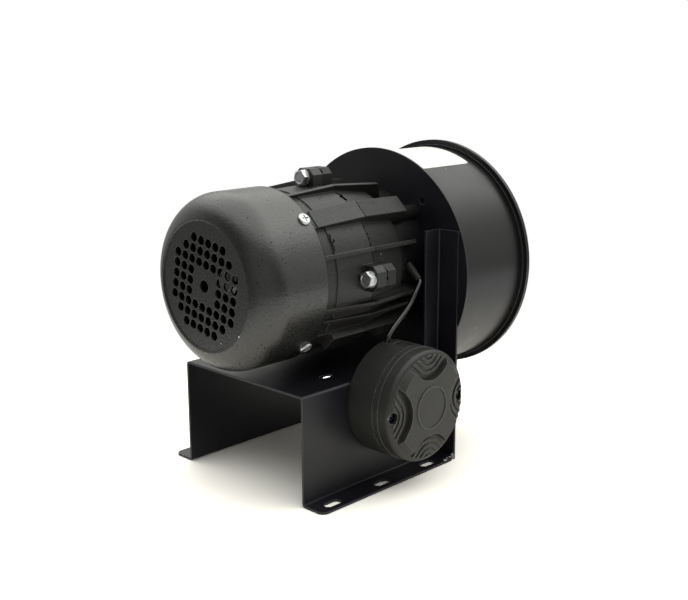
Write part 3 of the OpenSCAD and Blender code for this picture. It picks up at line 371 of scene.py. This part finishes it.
cowl_paint = matt_paint("matt textured paint on pressed steel", "#181817", "#222220", "#2c2c2a",
                        soft_mm=1.8, deep_mm=0.14, grainy=0.12, rough=0.30, mirror=0.95)
rear_paint = matt_paint("matt paint on the rear casting", "#141413", "#1e1d1b", "#4e4e4a",
                        soft_mm=0.8, deep_mm=0.14, grainy=0.08, rough=0.46, mirror=0.66)
# The front casting lies in the shade of the plate and the ears: a darker, less mirroring copy of the rear
# casting's paint, so its shade is painted.
shaded_front_paint = matt_paint("matt paint on the front casting, darker as painted shade", "#121211", "#1b1a19", "#4e4e4a",
                         soft_mm=0.8, deep_mm=0.14, grainy=0.06, rough=0.50, mirror=0.46)
print(cowl_paint.name, "and", rear_paint.name, "and", shaded_front_paint.name)

# %% [markdown]
# ### Moulded plastic of the terminal box
# The box is moulded from a dark grey polymer with a spark-eroded texture. Its tone is uneven, so two greys are
# mixed by a broad noise, and its edges are paler, partly from wear and partly as a painted highlight. Shade in
# the lid's grooves is painted: how much of the space close by is open tells where a groove is, and there the
# colour goes darker.

# %% Moulded plastic
SPARK_MM, SPARK_DEEP_MM, STAIN_MM = 0.9, 0.02, 16
GROOVE_MM, GROOVE_SAMPLES, GROOVE_PAINTED_SHADE = 2.2, 8, "#0a0a09"
GROOVE_DEEP, GROOVE_EDGE = 0.45, 0.90
BOX_SMOOTH, BOX_DULL = 0.40, 0.54
box_plastic, tree, shader, place, rounded = new_finish("moulded dark grey polymer")
stain = add(tree, "ShaderNodeTexNoise", {"Vector": place, "Scale": scale(STAIN_MM), "Detail": 4})["Fac"]
spark = add(tree, "ShaderNodeTexNoise", {"Vector": place, "Scale": scale(SPARK_MM), "Detail": 2})["Fac"]
tone = add(tree, "ShaderNodeMix", {
    "Factor": stain, 6: linear("#242423"), 7: linear("#323230")}, data_type="RGBA")[2]
# Pale edges: partly wear, partly a painted highlight along the lid's relief.
tone = edge_wear_and_highlight(tree, rounded, tone, "#9a9a95")
# Painted shade: where little of the space close by is open, as in the lid's grooves, the colour goes darker.
clear = add(tree, "ShaderNodeAmbientOcclusion", {"Distance": GROOVE_MM * MM}, samples=GROOVE_SAMPLES)["AO"]
clear = add(tree, "ShaderNodeMapRange", {"Value": clear, "From Min": GROOVE_DEEP, "From Max": GROOVE_EDGE})[0]
link(tree, shader,
     Base_Color=add(tree, "ShaderNodeMix", {"Factor": clear, 6: linear(GROOVE_PAINTED_SHADE), 7: tone},
                    data_type="RGBA")[2],
     Roughness=add(tree, "ShaderNodeMapRange", {
         "Value": spark, "From Min": NOISE_LOW, "From Max": NOISE_HIGH,
         "To Min": BOX_SMOOTH, "To Max": BOX_DULL})[0],
     Normal=add(tree, "ShaderNodeBump", {
         "Height": spark, "Distance": SPARK_DEEP_MM * MM, "Normal": rounded})["Normal"])
print(box_plastic.name)

# %% [markdown]
# ### Metals
# Screws and washers are zinc plated: a bright bluish metal whose tumbled surface is slightly uneven. The lid's
# screws are blackened. The impeller is galvanised sheet with its spangle, shown as cells of some millimetres.
# Shaft, bearings and stacks are bare steel. One function serves them all, because they differ in colour, patch
# size and polish only.

# %% Metals
TOOLED_MM, TOOLED_DEEP_MM = 0.5, 0.004


def metal(name, dark, light, patch_mm, smooth, dull):
    """A bare metal whose colour and roughness change from patch to patch."""
    made, tree, shader, place, rounded = new_finish(name)
    patch = add(tree, "ShaderNodeTexVoronoi", {"Vector": place, "Scale": scale(patch_mm)})["Color"]
    shade = add(tree, "ShaderNodeRGBToBW", {"Color": patch})[0]
    fine = add(tree, "ShaderNodeTexNoise", {"Vector": place, "Scale": scale(TOOLED_MM), "Detail": 2})["Fac"]
    link(tree, shader,
         Base_Color=add(tree, "ShaderNodeMix", {"Factor": shade, 6: linear(dark), 7: linear(light)},
                        data_type="RGBA")[2],
         Roughness=add(tree, "ShaderNodeMapRange", {"Value": shade, "To Min": smooth, "To Max": dull})[0],
         Normal=add(tree, "ShaderNodeBump", {
             "Height": fine, "Distance": TOOLED_DEEP_MM * MM, "Normal": rounded})["Normal"])
    shader.inputs["Metallic"].default_value = 1.0
    return made


zinc = metal("bright zinc plate on steel", "#cdd0d2", "#eaebec", 1.2, 0.28, 0.46)
black_steel = metal("blackened screw steel", "#3a3a3c", "#747478", 0.8, 0.14, 0.28)
galvanised = metal("galvanised sheet with spangle", "#979b9d", "#adb1b3", 6.0, 0.34, 0.50)
bare_steel = metal("turned bare steel", "#8d8f92", "#b6b8ba", 0.8, 0.22, 0.36)
cast_aluminium = metal("bare cast aluminium", "#8c8c8b", "#b3b3b1", 1.5, 0.42, 0.58)
brass = metal("turned brass", "#b08d3c", "#cfae5c", 0.8, 0.2, 0.32)
print("six metals")

# %% [markdown]
# ### Rubber, windings, paper and old paint
# Lead and gasket are soft black polymers with a shine, and the lead's sleeve is dusty. The motor's own cooling fan
# behind the vents is black nylon, dull enough to keep the vents dark. The windings are copper under amber enamel.
# The sticker is coated white paper, smooth and a little glossy. Old paint has cracked along the castings' parting,
# and where a fleck is knocked off, pale primer shows.

# %% Rubber, enamel, paper and primer
SKIN_MM = 0.8


def lacquer(name, dark, light, patch_mm, smooth, dull, bump_mm, mirror=0.5):
    """A polymer, lacquer or paper with a mild change of tone. Little mirror suits what lies deep and dark."""
    made, tree, shader, place, rounded = new_finish(name)
    patch = add(tree, "ShaderNodeTexNoise", {"Vector": place, "Scale": scale(patch_mm), "Detail": 3})["Fac"]
    fine = add(tree, "ShaderNodeTexNoise", {"Vector": place, "Scale": scale(SKIN_MM), "Detail": 2})["Fac"]
    link(tree, shader,
         Base_Color=add(tree, "ShaderNodeMix", {"Factor": patch, 6: linear(dark), 7: linear(light)},
                        data_type="RGBA")[2],
         Roughness=add(tree, "ShaderNodeMapRange", {"Value": patch, "To Min": smooth, "To Max": dull})[0],
         Normal=add(tree, "ShaderNodeBump", {
             "Height": fine, "Distance": bump_mm * MM, "Normal": rounded})["Normal"])
    shader.inputs["Specular IOR Level"].default_value = mirror
    return made


rubber = lacquer("black soft polymer of leads", "#030303", "#070707", 6, 0.05, 0.10, 0.001, 0.8)
sleeve_rubber = lacquer("dusty rubber of the sleeve", "#131312", "#20201e", 3, 0.45, 0.60, 0.02)
nylon = lacquer("dull black nylon of the cooling fan", "#020202", "#050505", 6, 0.75, 0.95, 0.01, 0.0)
enamel = lacquer("copper windings under amber enamel", "#6e3a18", "#8f4f22", 3, 0.25, 0.5, 0.03)
label_paper = lacquer("coated white label paper", "#f0f0ed", "#fcfcfa", 18, 0.25, 0.45, 0.004)
cracked_paint = lacquer("cracked old paint in a seam", "#030303", "#080808", 2, 0.6, 0.9, 0.02, 0.0)
primer = lacquer("pale primer under a knocked-off fleck", "#d6d6d0", "#f4f4f0", 1, 0.4, 0.7, 0.02)
print("rubber, nylon, enamel, paper, cracked paint and primer")

# %% [markdown]
# ## Finishes on the CAD nodes
# A CAD node keeps its mesh, and only gets its finish. The list follows the record's slots.

# %% Paint the CAD nodes
FINISH_OF = {
    powder_coat: ["stand", "motor_plate"],
    enamel_coat: ["casing_back", "scroll_wall", "casing_front", "inlet_ring", "outlet_flange"],
    cowl_paint: ["fan_cowl"],
    rear_paint: ["rear_housing"],
    shaded_front_paint: ["front_housing"],
    box_plastic: ["box_base", "box_lid", "terminal_block"],
    nylon: ["cooling_fan"],
    zinc: ["inlet_screws", "cowl_screws", "lug_bolts", "lug_washers", "flange_screws", "box_screws", "box_nuts",
           "fan_clip"],
    black_steel: ["lid_screws"],
    galvanised: ["impeller_disc", "impeller_blades", "impeller_ring"],
    bare_steel: ["stator_core", "front_bearing", "rear_bearing", "shaft", "rotor_core", "set_screw"],
    cast_aluminium: ["rotor_end_rings", "impeller_hub"],
    enamel: ["stator_windings"],
    brass: ["terminal_screws"],
    rubber: ["box_gasket", "motor_lead"],
    sleeve_rubber: ["lead_sleeve"],
}
for finish, names in FINISH_OF.items():
    for name in names:
        nodes[name].data.materials.clear()
        nodes[name].data.materials.append(finish)
print("painted", sum(len(names) for names in FINISH_OF.values()), "of", len(nodes), "nodes")

# %% [markdown]
# ## Fasteners
# CAD has plain heads. On the real fan the cowl's and the inlet's screws are pan heads with a cross recess, and the
# lugs carry hexagon bolts with a chamfered, slightly dished face. Each head is one small turned mesh. A ring of a
# few heads follows a rule, so Geometry Nodes set them out: points on a circle, each with its own random twist,
# since no two screws stop at the same angle.

# %% Turned meshes
HEAD_SHARP = math.radians(35)


def turned(name, rings, sides):
    """A closed mesh from rings. A ring is a function of the angle that gives a radius and a height in mm."""
    shape = bmesh.new()
    loops = []
    for ring in rings:
        angles = [i * math.tau / sides for i in range(sides)]
        if ring(0)[0] == 0:
            angles = angles[:1]
        loops.append([shape.verts.new((r * MM * math.cos(a), r * MM * math.sin(a), z * MM))
                      for a in angles for r, z in [ring(a)]])
    for low, high in zip(loops, loops[1:]):
        for i in range(sides):
            j = (i + 1) % sides
            corners = [low[i % len(low)], low[j % len(low)], high[j % len(high)], high[i % len(high)]]
            shape.faces.new(dict.fromkeys(corners))
    bmesh.ops.recalc_face_normals(shape, faces=shape.faces)
    made = bpy.data.meshes.new(name)
    shape.to_mesh(made)
    shape.free()
    made.shade_smooth()
    made.set_sharp_from_angle(angle=HEAD_SHARP)
    return made


print("faces that meet at more than", round(math.degrees(HEAD_SHARP)), "degrees stay sharp")

# %% Pan heads
# The profile gives shares of the head's radius and height, and so do the cross recess's length, width and depth.
PAN_PROFILE = [(0.97, 0), (1, 0.1), (1, 0.4), (0.9, 0.75), (0.68, 0.94), (0.4, 1), (0, 1)]
CROSS_L, CROSS_W, CROSS_H = 1.15, 0.26, 1.1
PAN_SIDES = 24


def pan_head(head_r, head_h, shank_r, shank_l):
    """A pan-head screw whose seat is at zero height, with a cross recess cut by a Boolean."""
    profile = [(0, -shank_l), (shank_r, -shank_l), (shank_r, 0)]
    profile += [(head_r * out, head_h * high) for out, high in PAN_PROFILE]
    rings = [lambda a, spot=spot: spot for spot in profile]
    screw = bpy.data.objects.new("screw", turned("screw", rings, PAN_SIDES))
    cross = bmesh.new()
    for turn in (0, math.pi / 2):
        bmesh.ops.create_cube(cross, size=MM, matrix=Matrix.Translation((0, 0, head_h * MM)) @ Matrix.Rotation(
            turn, 4, "Z") @ Matrix.Diagonal((head_r * CROSS_L, head_r * CROSS_W, head_h * CROSS_H, 1)))
    recess = bpy.data.objects.new("recess", bpy.data.meshes.new("recess"))
    cross.to_mesh(recess.data)
    cross.free()
    for made in (screw, recess):
        bpy.context.scene.collection.objects.link(made)
    cut = screw.modifiers.new("recess", "BOOLEAN")
    cut.object = recess
    cut.use_self = True
    shape = bpy.data.meshes.new_from_object(screw.evaluated_get(bpy.context.evaluated_depsgraph_get()))
    for made in (screw, recess):
        bpy.data.objects.remove(made)
    return shape


print("a pan head has", PAN_SIDES, "sides")

# %% Hexagon bolts
# The face and its dish are shares of the width across flats, of the face's radius and of the head's height.
FACE_SHARE, DISH_FROM, DISH_TO, DISH_Z = 0.475, 0.8, 0.72, 0.93
BOLT_SIDES, BOLT_CHAMFER = 36, math.radians(30)


def hex_bolt(flats, head_h, shank_r, shank_l):
    """A hexagon bolt with a chamfered and dished face."""
    face_r = flats * FACE_SHARE
    slope = math.tan(BOLT_CHAMFER)
    wide = lambda a: flats / 2 / math.cos(a % (math.pi / 3) - math.pi / 6)
    rings = [lambda a, spot=spot: spot for spot in ((0, -shank_l), (shank_r, -shank_l), (shank_r, 0))]
    rings += [lambda a: (wide(a), 0), lambda a: (wide(a), head_h - (wide(a) - face_r) * slope)]
    rings += [lambda a, spot=spot: spot for spot in (
        (face_r, head_h), (face_r * DISH_FROM, head_h), (face_r * DISH_TO, head_h * DISH_Z), (0, head_h * DISH_Z))]
    return turned("bolt", rings, BOLT_SIDES)


print("a bolt's head is chamfered at", round(math.degrees(BOLT_CHAMFER)), "degrees")

# %% Trees and the pieces they make
def new_tree(name, inputs):
    """An empty Geometry Nodes tree with named inputs: gives it, their sockets and their identifiers."""
    tree = bpy.data.node_groups.new(name, "GeometryNodeTree")
    keys = {label: tree.interface.new_socket(label, in_out="INPUT", socket_type=kind).identifier
            for label, kind in {"Geometry": "NodeSocketGeometry", **inputs}.items()}
    tree.interface.new_socket("Geometry", in_out="OUTPUT", socket_type="NodeSocketGeometry")
    return tree, add(tree, "NodeGroupInput"), keys


def grown(name, shape, tree, keys, values):
    """Runs a tree on a mesh, with its inputs set, and keeps the result as a plain piece."""
    piece = bpy.data.objects.new(name, shape)
    bpy.context.scene.collection.objects.link(piece)
    runner = piece.modifiers.new("tree", "NODES")
    runner.node_group = tree
    for label, value in values.items():
        runner[keys[label]] = value
    piece.data = bpy.data.meshes.new_from_object(piece.evaluated_get(bpy.context.evaluated_depsgraph_get()))
    piece.modifiers.clear()
    return piece


print("a tree's inputs are set by their identifiers")

# %% Ring of fasteners
TWIST_SEED = 7
ring_tree, given, ring_keys = new_tree("ring of fasteners", {
    "Count": "NodeSocketInt", "Ring radius": "NodeSocketFloat", "First turn": "NodeSocketFloat",
    "Step": "NodeSocketFloat", "Tilt": "NodeSocketFloat", "Middle": "NodeSocketVector",
    "Axis turn": "NodeSocketVector", "Finish": "NodeSocketMaterial"})
index = add(ring_tree, "GeometryNodeInputIndex")[0]
turn = add(ring_tree, "ShaderNodeMath", {0: index, 1: given["Step"], 2: given["First turn"]},
           operation="MULTIPLY_ADD")[0]
reach = add(ring_tree, "ShaderNodeCombineXYZ", {"X": given["Ring radius"]})[0]
spot = add(ring_tree, "ShaderNodeVectorRotate", {"Vector": reach, "Angle": turn}, rotation_type="Z_AXIS")[0]
points = add(ring_tree, "GeometryNodePoints", {"Count": given["Count"], "Position": spot})[0]
aim = add(ring_tree, "ShaderNodeCombineXYZ", {"Y": given["Tilt"], "Z": turn})[0]
aim = add(ring_tree, "FunctionNodeEulerToRotation", {0: aim})[0]
twist = add(ring_tree, "FunctionNodeRandomValue", {2: 0.0, 3: math.tau, "Seed": TWIST_SEED}, data_type="FLOAT")[1]
twist = add(ring_tree, "ShaderNodeCombineXYZ", {"Z": twist})[0]
twist = add(ring_tree, "FunctionNodeEulerToRotation", {0: twist})[0]
aim = add(ring_tree, "FunctionNodeRotateRotation", {0: aim, 1: twist}, rotation_space="LOCAL")[0]
heads = add(ring_tree, "GeometryNodeInstanceOnPoints", {
    "Points": points, "Instance": given["Geometry"], "Rotation": aim})[0]
axis = add(ring_tree, "FunctionNodeEulerToRotation", {0: given["Axis turn"]})[0]
heads = add(ring_tree, "GeometryNodeTransform", {
    "Geometry": heads, "Translation": given["Middle"], "Rotation": axis})[0]
heads = add(ring_tree, "GeometryNodeRealizeInstances", {0: heads})[0]
heads = add(ring_tree, "GeometryNodeSetMaterial", {"Geometry": heads, "Material": given["Finish"]})[0]
add(ring_tree, "NodeGroupOutput", {"Geometry": heads})
print("tree:", ring_tree.name, "with inputs", ", ".join(ring_keys))

# %% Set out the fasteners
QUARTER = math.pi / 2
TO_COWL = (QUARTER, 0, -QUARTER)
TO_INLET = (QUARTER, 0, QUARTER)
TO_BOX_SIDE = (QUARTER, 0, 0)


def fasten(name, node, shape, finish, count, step, ring_mm, first, tilt, middle, axis):
    """One ring of fasteners in place of a CAD node of the frame."""
    piece = grown(name, shape, ring_tree, ring_keys, {
        "Count": count, "Ring radius": ring_mm * MM, "First turn": first, "Step": step, "Tilt": tilt,
        "Middle": middle, "Axis turn": axis, "Finish": finish})
    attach(piece, "frame")
    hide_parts(node)
    print(name, "has", len(piece.data.polygons), "faces")


print("three ways for a ring to face")

# %% Fasteners of the motor
COWL_HEAD_R_MM, COWL_HEAD_MM, COWL_SHANK_R_MM, COWL_SHANK_MM, COWL_R_MM = 4.4, 2.2, 2, 7.6, 59.5
BOLT_FLATS_MM, BOLT_HEAD_MM, BOLT_R_MM, BOLT_SHANK_MM, BOLT_RING_MM = 10, 4, 3, 15.8, 62.3
low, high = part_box("cowl_screws")
fasten("cowl_pan_screws", "cowl_screws",
       pan_head(COWL_HEAD_R_MM, COWL_HEAD_MM, COWL_SHANK_R_MM, COWL_SHANK_MM), zinc,
       count=4, step=QUARTER, ring_mm=COWL_R_MM, first=QUARTER / 2, tilt=QUARTER,
       middle=((low.x + high.x) / 2, 0, SHAFT_Z), axis=TO_COWL)
low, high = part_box("lug_bolts")
fasten("lug_hex_bolts", "lug_bolts", hex_bolt(BOLT_FLATS_MM, BOLT_HEAD_MM, BOLT_R_MM, BOLT_SHANK_MM), zinc,
       count=3, step=QUARTER, ring_mm=BOLT_RING_MM, first=0, tilt=0,
       middle=(low.x + BOLT_HEAD_MM * MM, 0, SHAFT_Z), axis=TO_COWL)

# %% Fasteners of the inlet and the lid
INLET_HEAD_R_MM, INLET_HEAD_MM, INLET_SHANK_R_MM, INLET_SHANK_MM, INLET_RING_MM = 3.6, 2, 1.75, 3.6, 62
LID_HEAD_R_MM, LID_HEAD_MM, LID_SHANK_R_MM = 3.4, 2, 1.75
low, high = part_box("inlet_screws")
fasten("inlet_pan_screws", "inlet_screws",
       pan_head(INLET_HEAD_R_MM, INLET_HEAD_MM, INLET_SHANK_R_MM, INLET_SHANK_MM), zinc,
       count=4, step=QUARTER, ring_mm=INLET_RING_MM, first=QUARTER / 2, tilt=0,
       middle=(high.x - INLET_HEAD_MM * MM, 0, SHAFT_Z), axis=TO_INLET)
low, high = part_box("lid_screws")
lid_ring_mm = (high.x - low.x) / 2 / MM - LID_HEAD_R_MM
lid_shank_mm = (high.y - low.y) / MM - LID_HEAD_MM
fasten("lid_pan_screws", "lid_screws",
       pan_head(LID_HEAD_R_MM, LID_HEAD_MM, LID_SHANK_R_MM, lid_shank_mm), black_steel,
       count=2, step=math.pi, ring_mm=lid_ring_mm, first=0, tilt=0,
       middle=((low.x + high.x) / 2, low.y + LID_HEAD_MM * MM, (low.z + high.z) / 2), axis=TO_BOX_SIDE)

# %% [markdown]
# ## Motor lead
# A thin round lead leaves the rubber sleeve on the motor and runs down into the terminal box. CAD has it with
# eight sides. Its route repeats the CAD points, measured from the stand's front edge, and Geometry Nodes turn them
# into a smooth curve and sweep a circle along it.

# %% Tree of the lead
LEAD_SIDES = 20
lead_tree, given, lead_keys = new_tree("round lead", {
    "Radius": "NodeSocketFloat", "Points": "NodeSocketInt", "Finish": "NodeSocketMaterial"})
line = add(lead_tree, "GeometryNodeMeshToCurve", {"Mesh": given["Geometry"]})[0]
line = add(lead_tree, "GeometryNodeCurveSplineType", {"Curve": line}, spline_type="CATMULL_ROM")[0]
line = add(lead_tree, "GeometryNodeResampleCurve", {"Curve": line, "Count": given["Points"]})[0]
ring = add(lead_tree, "GeometryNodeCurvePrimitiveCircle", {"Resolution": LEAD_SIDES, "Radius": given["Radius"]})[0]
tube = add(lead_tree, "GeometryNodeCurveToMesh", {"Curve": line, "Profile Curve": ring, "Fill Caps": True})[0]
tube = add(lead_tree, "GeometryNodeRealizeInstances", {0: tube})[0]
tube = add(lead_tree, "GeometryNodeSetMaterial", {"Geometry": tube, "Material": given["Finish"]})[0]
add(lead_tree, "NodeGroupOutput", {"Geometry": tube})
print("tree:", lead_tree.name, "with inputs", ", ".join(lead_keys))

# %% Lead
FRONT_EDGE_MM = 64
LEAD_R_MM, LEAD_POINTS, LEAD_SHARP = 1.75, 90, math.radians(50)
LEAD_ROUTE_MM = [(117, -55, 134.84), (117, -57.24, 132.83), (115.8, -58, 131.2), (113.5, -58.5, 128.9),
                 (110, -59.2, 125.4), (105, -59.8, 119.8), (99, -60.4, 115.2), (93, -60.9, 111.4),
                 (86, -61.6, 107), (80, -62.3, 102.8), (77.6, -62.8, 99.8), (76.8, -63, 96.5),
                 (76.6, -63, 93.7), (76.6, -63, 89.7)]
route = bpy.data.meshes.new("lead route")
route.from_pydata([Vector((x - FRONT_EDGE_MM, y, z)) * MM for x, y, z in LEAD_ROUTE_MM],
                  [(i, i + 1) for i in range(len(LEAD_ROUTE_MM) - 1)], [])
lead = grown("round_motor_lead", route, lead_tree, lead_keys, {
    "Radius": LEAD_R_MM * MM, "Points": LEAD_POINTS, "Finish": rubber})
lead.data.shade_smooth()
lead.data.set_sharp_from_angle(angle=LEAD_SHARP)
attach(lead, "frame")
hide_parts("motor_lead")
print("lead:", len(lead.data.polygons), "faces")

# %% [markdown]
# ## Sticker on the drum
# A white paper sticker lies over the top of the drum, next to the motor plate. It is blank here. It is a grid bent
# round the drum, with its corners drawn in to an arc and given a paper's thickness.

# %% Pieces from a mesh
def piece_of(name, shape, finish):
    """A new piece from a bmesh, which is used up, with its faces outwards and one finish."""
    bmesh.ops.recalc_face_normals(shape, faces=shape.faces)
    piece = bpy.data.objects.new(name, bpy.data.meshes.new(name))
    shape.to_mesh(piece.data)
    shape.free()
    piece.data.materials.append(finish)
    bpy.context.scene.collection.objects.link(piece)
    return piece


print("a piece stays at the origin, with its place in its mesh")

# %% Flat outline of the sticker
DRUM_Y_MM, DRUM_Z_MM, DRUM_R_MM = 2.6, 134.1, 83.5
STICKER_X_MM = (76, 133)
STICKER_TURNS = (62, 120)
CORNER_MM, PAPER_MM, AIR_MM = 3, 0.12, 0.06
half_w = (STICKER_X_MM[1] - STICKER_X_MM[0]) / 2
half_l = math.radians(STICKER_TURNS[1] - STICKER_TURNS[0]) / 2 * DRUM_R_MM


def on_sticker(flat):
    """A point of the flat sticker, in millimetres from its middle, drawn in at the rounded corners."""
    inset = Vector((abs(flat.x) - half_w + CORNER_MM, abs(flat.y) - half_l + CORNER_MM))
    if inset.x > 0 and inset.y > 0 and inset.length > CORNER_MM:
        inset = inset.normalized() * CORNER_MM
        flat = Vector((math.copysign(half_w - CORNER_MM + inset.x, flat.x),
                       math.copysign(half_l - CORNER_MM + inset.y, flat.y)))
    return flat


print("sticker", round(2 * half_w), "by", round(2 * half_l), "mm")

# %% Sticker
COLUMNS, ROWS, STICKER_SHARP = 24, 48, math.radians(40)
shape = bmesh.new()
grid = []
for row in range(ROWS + 1):
    for column in range(COLUMNS + 1):
        flat = on_sticker(Vector(((2 * column / COLUMNS - 1) * half_w, (2 * row / ROWS - 1) * half_l)))
        turn = math.radians(sum(STICKER_TURNS) / 2) + flat.y / DRUM_R_MM
        r = DRUM_R_MM + AIR_MM
        grid.append(shape.verts.new(Vector((sum(STICKER_X_MM) / 2 + flat.x, DRUM_Y_MM - r * math.cos(turn),
                                            DRUM_Z_MM + r * math.sin(turn))) * MM))
across = COLUMNS + 1
for row in range(ROWS):
    for column in range(COLUMNS):
        i = row * across + column
        shape.faces.new([grid[i], grid[i + 1], grid[i + across + 1], grid[i + across]])
bmesh.ops.recalc_face_normals(shape, faces=shape.faces)
bmesh.ops.solidify(shape, geom=shape.faces[:], thickness=PAPER_MM * MM)
sticker = piece_of("blank_sticker", shape, label_paper)
sticker.data.shade_smooth()
sticker.data.set_sharp_from_angle(angle=STICKER_SHARP)
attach(sticker, "frame")
print("sticker:", len(sticker.data.polygons), "faces")

# %% [markdown]
# ## Cracked paint along the seams
# Paint bridges the parting of the two castings and the edge of the rear one, and cracks there. A crack is a thin
# jagged ribbon. Each section of it steps sideways by a random amount with a fixed seed, and a ray towards the
# shaft finds the height of the body, a rib or a lug there, so that the ribbon lies on them all.

# %% One crack
OUTSIDE_MM = 90
CRACK_IN_MM, CRACK_OUT_MM, CRACK_TIP_MM, CRACK_NARROW = 0.3, 0.2, 0.05, 0.3
bodies = bmesh.new()
for node in ("front_housing", "rear_housing"):
    bodies.from_mesh(nodes[node].data)
castings = BVHTree.FromBMesh(bodies)
bodies.free()


def crack(shape, chance, x_mm, turns, jitter_mm, width_mm, steps):
    """A closed jagged ribbon on the castings, from one angle to another above the box's side."""
    sections = []
    for i in range(steps + 1):
        turn = math.radians(turns[0] + (turns[1] - turns[0]) * i / steps)
        outward = Vector((0, -math.cos(turn), math.sin(turn)))
        x = x_mm + chance.uniform(-jitter_mm, jitter_mm)
        half = width_mm * chance.uniform(CRACK_NARROW, 1) / 2 if 0 < i < steps else CRACK_TIP_MM
        axis = Vector((x * MM, 0, SHAFT_Z))
        hit = castings.ray_cast(axis + OUTSIDE_MM * MM * outward, -outward)[0]
        r = (hit - axis).length / MM
        inner, outer = r - CRACK_IN_MM, r + CRACK_OUT_MM
        ring = [(-half, inner), (half, inner), (half, outer), (-half, outer)]
        sections.append([shape.verts.new(axis + Vector((side * MM, 0, 0)) + out * MM * outward)
                         for side, out in ring])
    for near, far in zip(sections, sections[1:]):
        for k in range(4):
            shape.faces.new([near[k], near[(k + 1) % 4], far[(k + 1) % 4], far[k]])
    shape.faces.new(sections[0])
    shape.faces.new(sections[-1])


print("a crack stands", CRACK_OUT_MM, "mm proud")

# %% Cracks
# A crack has its place along the shaft, its two angles, its jitter and width in millimetres and its steps.
PARTING_MM, REAR_EDGE_MM = 6.5, -27
CRACK_SEED = 11
CRACKS = [
    (PARTING_MM, (80, 94), 0.5, 1.4, 14),
    (PARTING_MM, (57, 68), 1.4, 3.0, 8),
    (PARTING_MM, (41, 53), 0.4, 1.2, 14),
    (PARTING_MM, (20, 37), 0.8, 1.6, 16),
    (PARTING_MM, (-6, 6), 0.4, 1.2, 12),
    (REAR_EDGE_MM + 0.8, (21, 34), 0.7, 1.1, 12),
    (REAR_EDGE_MM + 2.2, (26.5, 30), 0.9, 2.2, 4),
]
chance = random.Random(CRACK_SEED)
shape = bmesh.new()
for row in CRACKS:
    crack(shape, chance, *row)
cracks = piece_of("cracked_paint", shape, cracked_paint)
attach(cracks, "frame")
print("cracks:", len(cracks.data.polygons), "faces")

# %% [markdown]
# ## Knocked-off flecks
# Small flecks of paint are missing where things have bumped the fan. The ones that the photograph shows are placed
# by their pixels: a ray from the camera finds the surface, and a small uneven disc is set on it, square to its
# normal. Each point of its rim then moves to the nearest point of the surface, so a fleck at an edge ends there.

# %% One fleck
FLECK_SIDES, FLECK_SMALL = 7, 0.5
FLECK_IN_MM, FLECK_OUT_MM = 0.15, 0.05


def fleck(shape, chance, surface, hit, normal, size_mm):
    """An uneven disc on a surface."""
    turn = normal.to_track_quat("Z", "Y").to_matrix()
    rim = []
    for k in range(FLECK_SIDES):
        a, r = k * math.tau / FLECK_SIDES, size_mm * chance.uniform(FLECK_SMALL, 1)
        flat = Vector((r * math.cos(a), r * math.sin(a), 0)) * MM
        rim.append(surface.find_nearest(hit + turn @ flat)[0])
    loops = [[shape.verts.new(spot + z * MM * normal) for spot in rim] for z in (-FLECK_IN_MM, FLECK_OUT_MM)]
    for loop in loops:
        shape.faces.new(loop)
    for k in range(FLECK_SIDES):
        shape.faces.new([loops[0][k], loops[0][k - 1], loops[1][k - 1], loops[1][k]])


print("a fleck has", FLECK_SIDES, "sides")

# %% Flecks
# A fleck has its pixel in the photograph and the radius of its disc in millimetres.
FLECK_SEED = 5
FLECKS = {
    "fan_cowl": [((239, 337), 0.8), ((221, 344), 0.6), ((206, 353), 0.5), ((213, 359), 0.4)],
    "front_housing": [((381, 254), 0.6)],
    "stand": [((453, 456), 2.6), ((450, 457), 1.8), ((445, 460), 1.8), ((447, 458), 1.2), ((183, 455), 0.5)],
    "scroll_wall": [((476, 328), 0.4), ((446, 169), 0.4)],
}
chance = random.Random(FLECK_SEED)
shape = bmesh.new()
for node, spots in FLECKS.items():
    mesh = nodes[node].data
    surface = BVHTree.FromPolygons([v.co for v in mesh.vertices], [p.vertices for p in mesh.polygons])
    for (pixel_x, pixel_y), size_mm in spots:
        ray = forward + (pixel_x - PICTURE_W / 2) / FOCAL_PX * right - (pixel_y - PICTURE_H / 2) / FOCAL_PX * up
        hit, normal = surface.ray_cast(eye, ray.normalized())[:2]
        if hit is None:
            print("no surface of", node, "at", pixel_x, pixel_y)
        else:
            fleck(shape, chance, surface, hit, normal, size_mm)
flecks = piece_of("paint_flecks", shape, primer)
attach(flecks, "frame")
print("flecks:", sum(len(spots) for spots in FLECKS.values()))
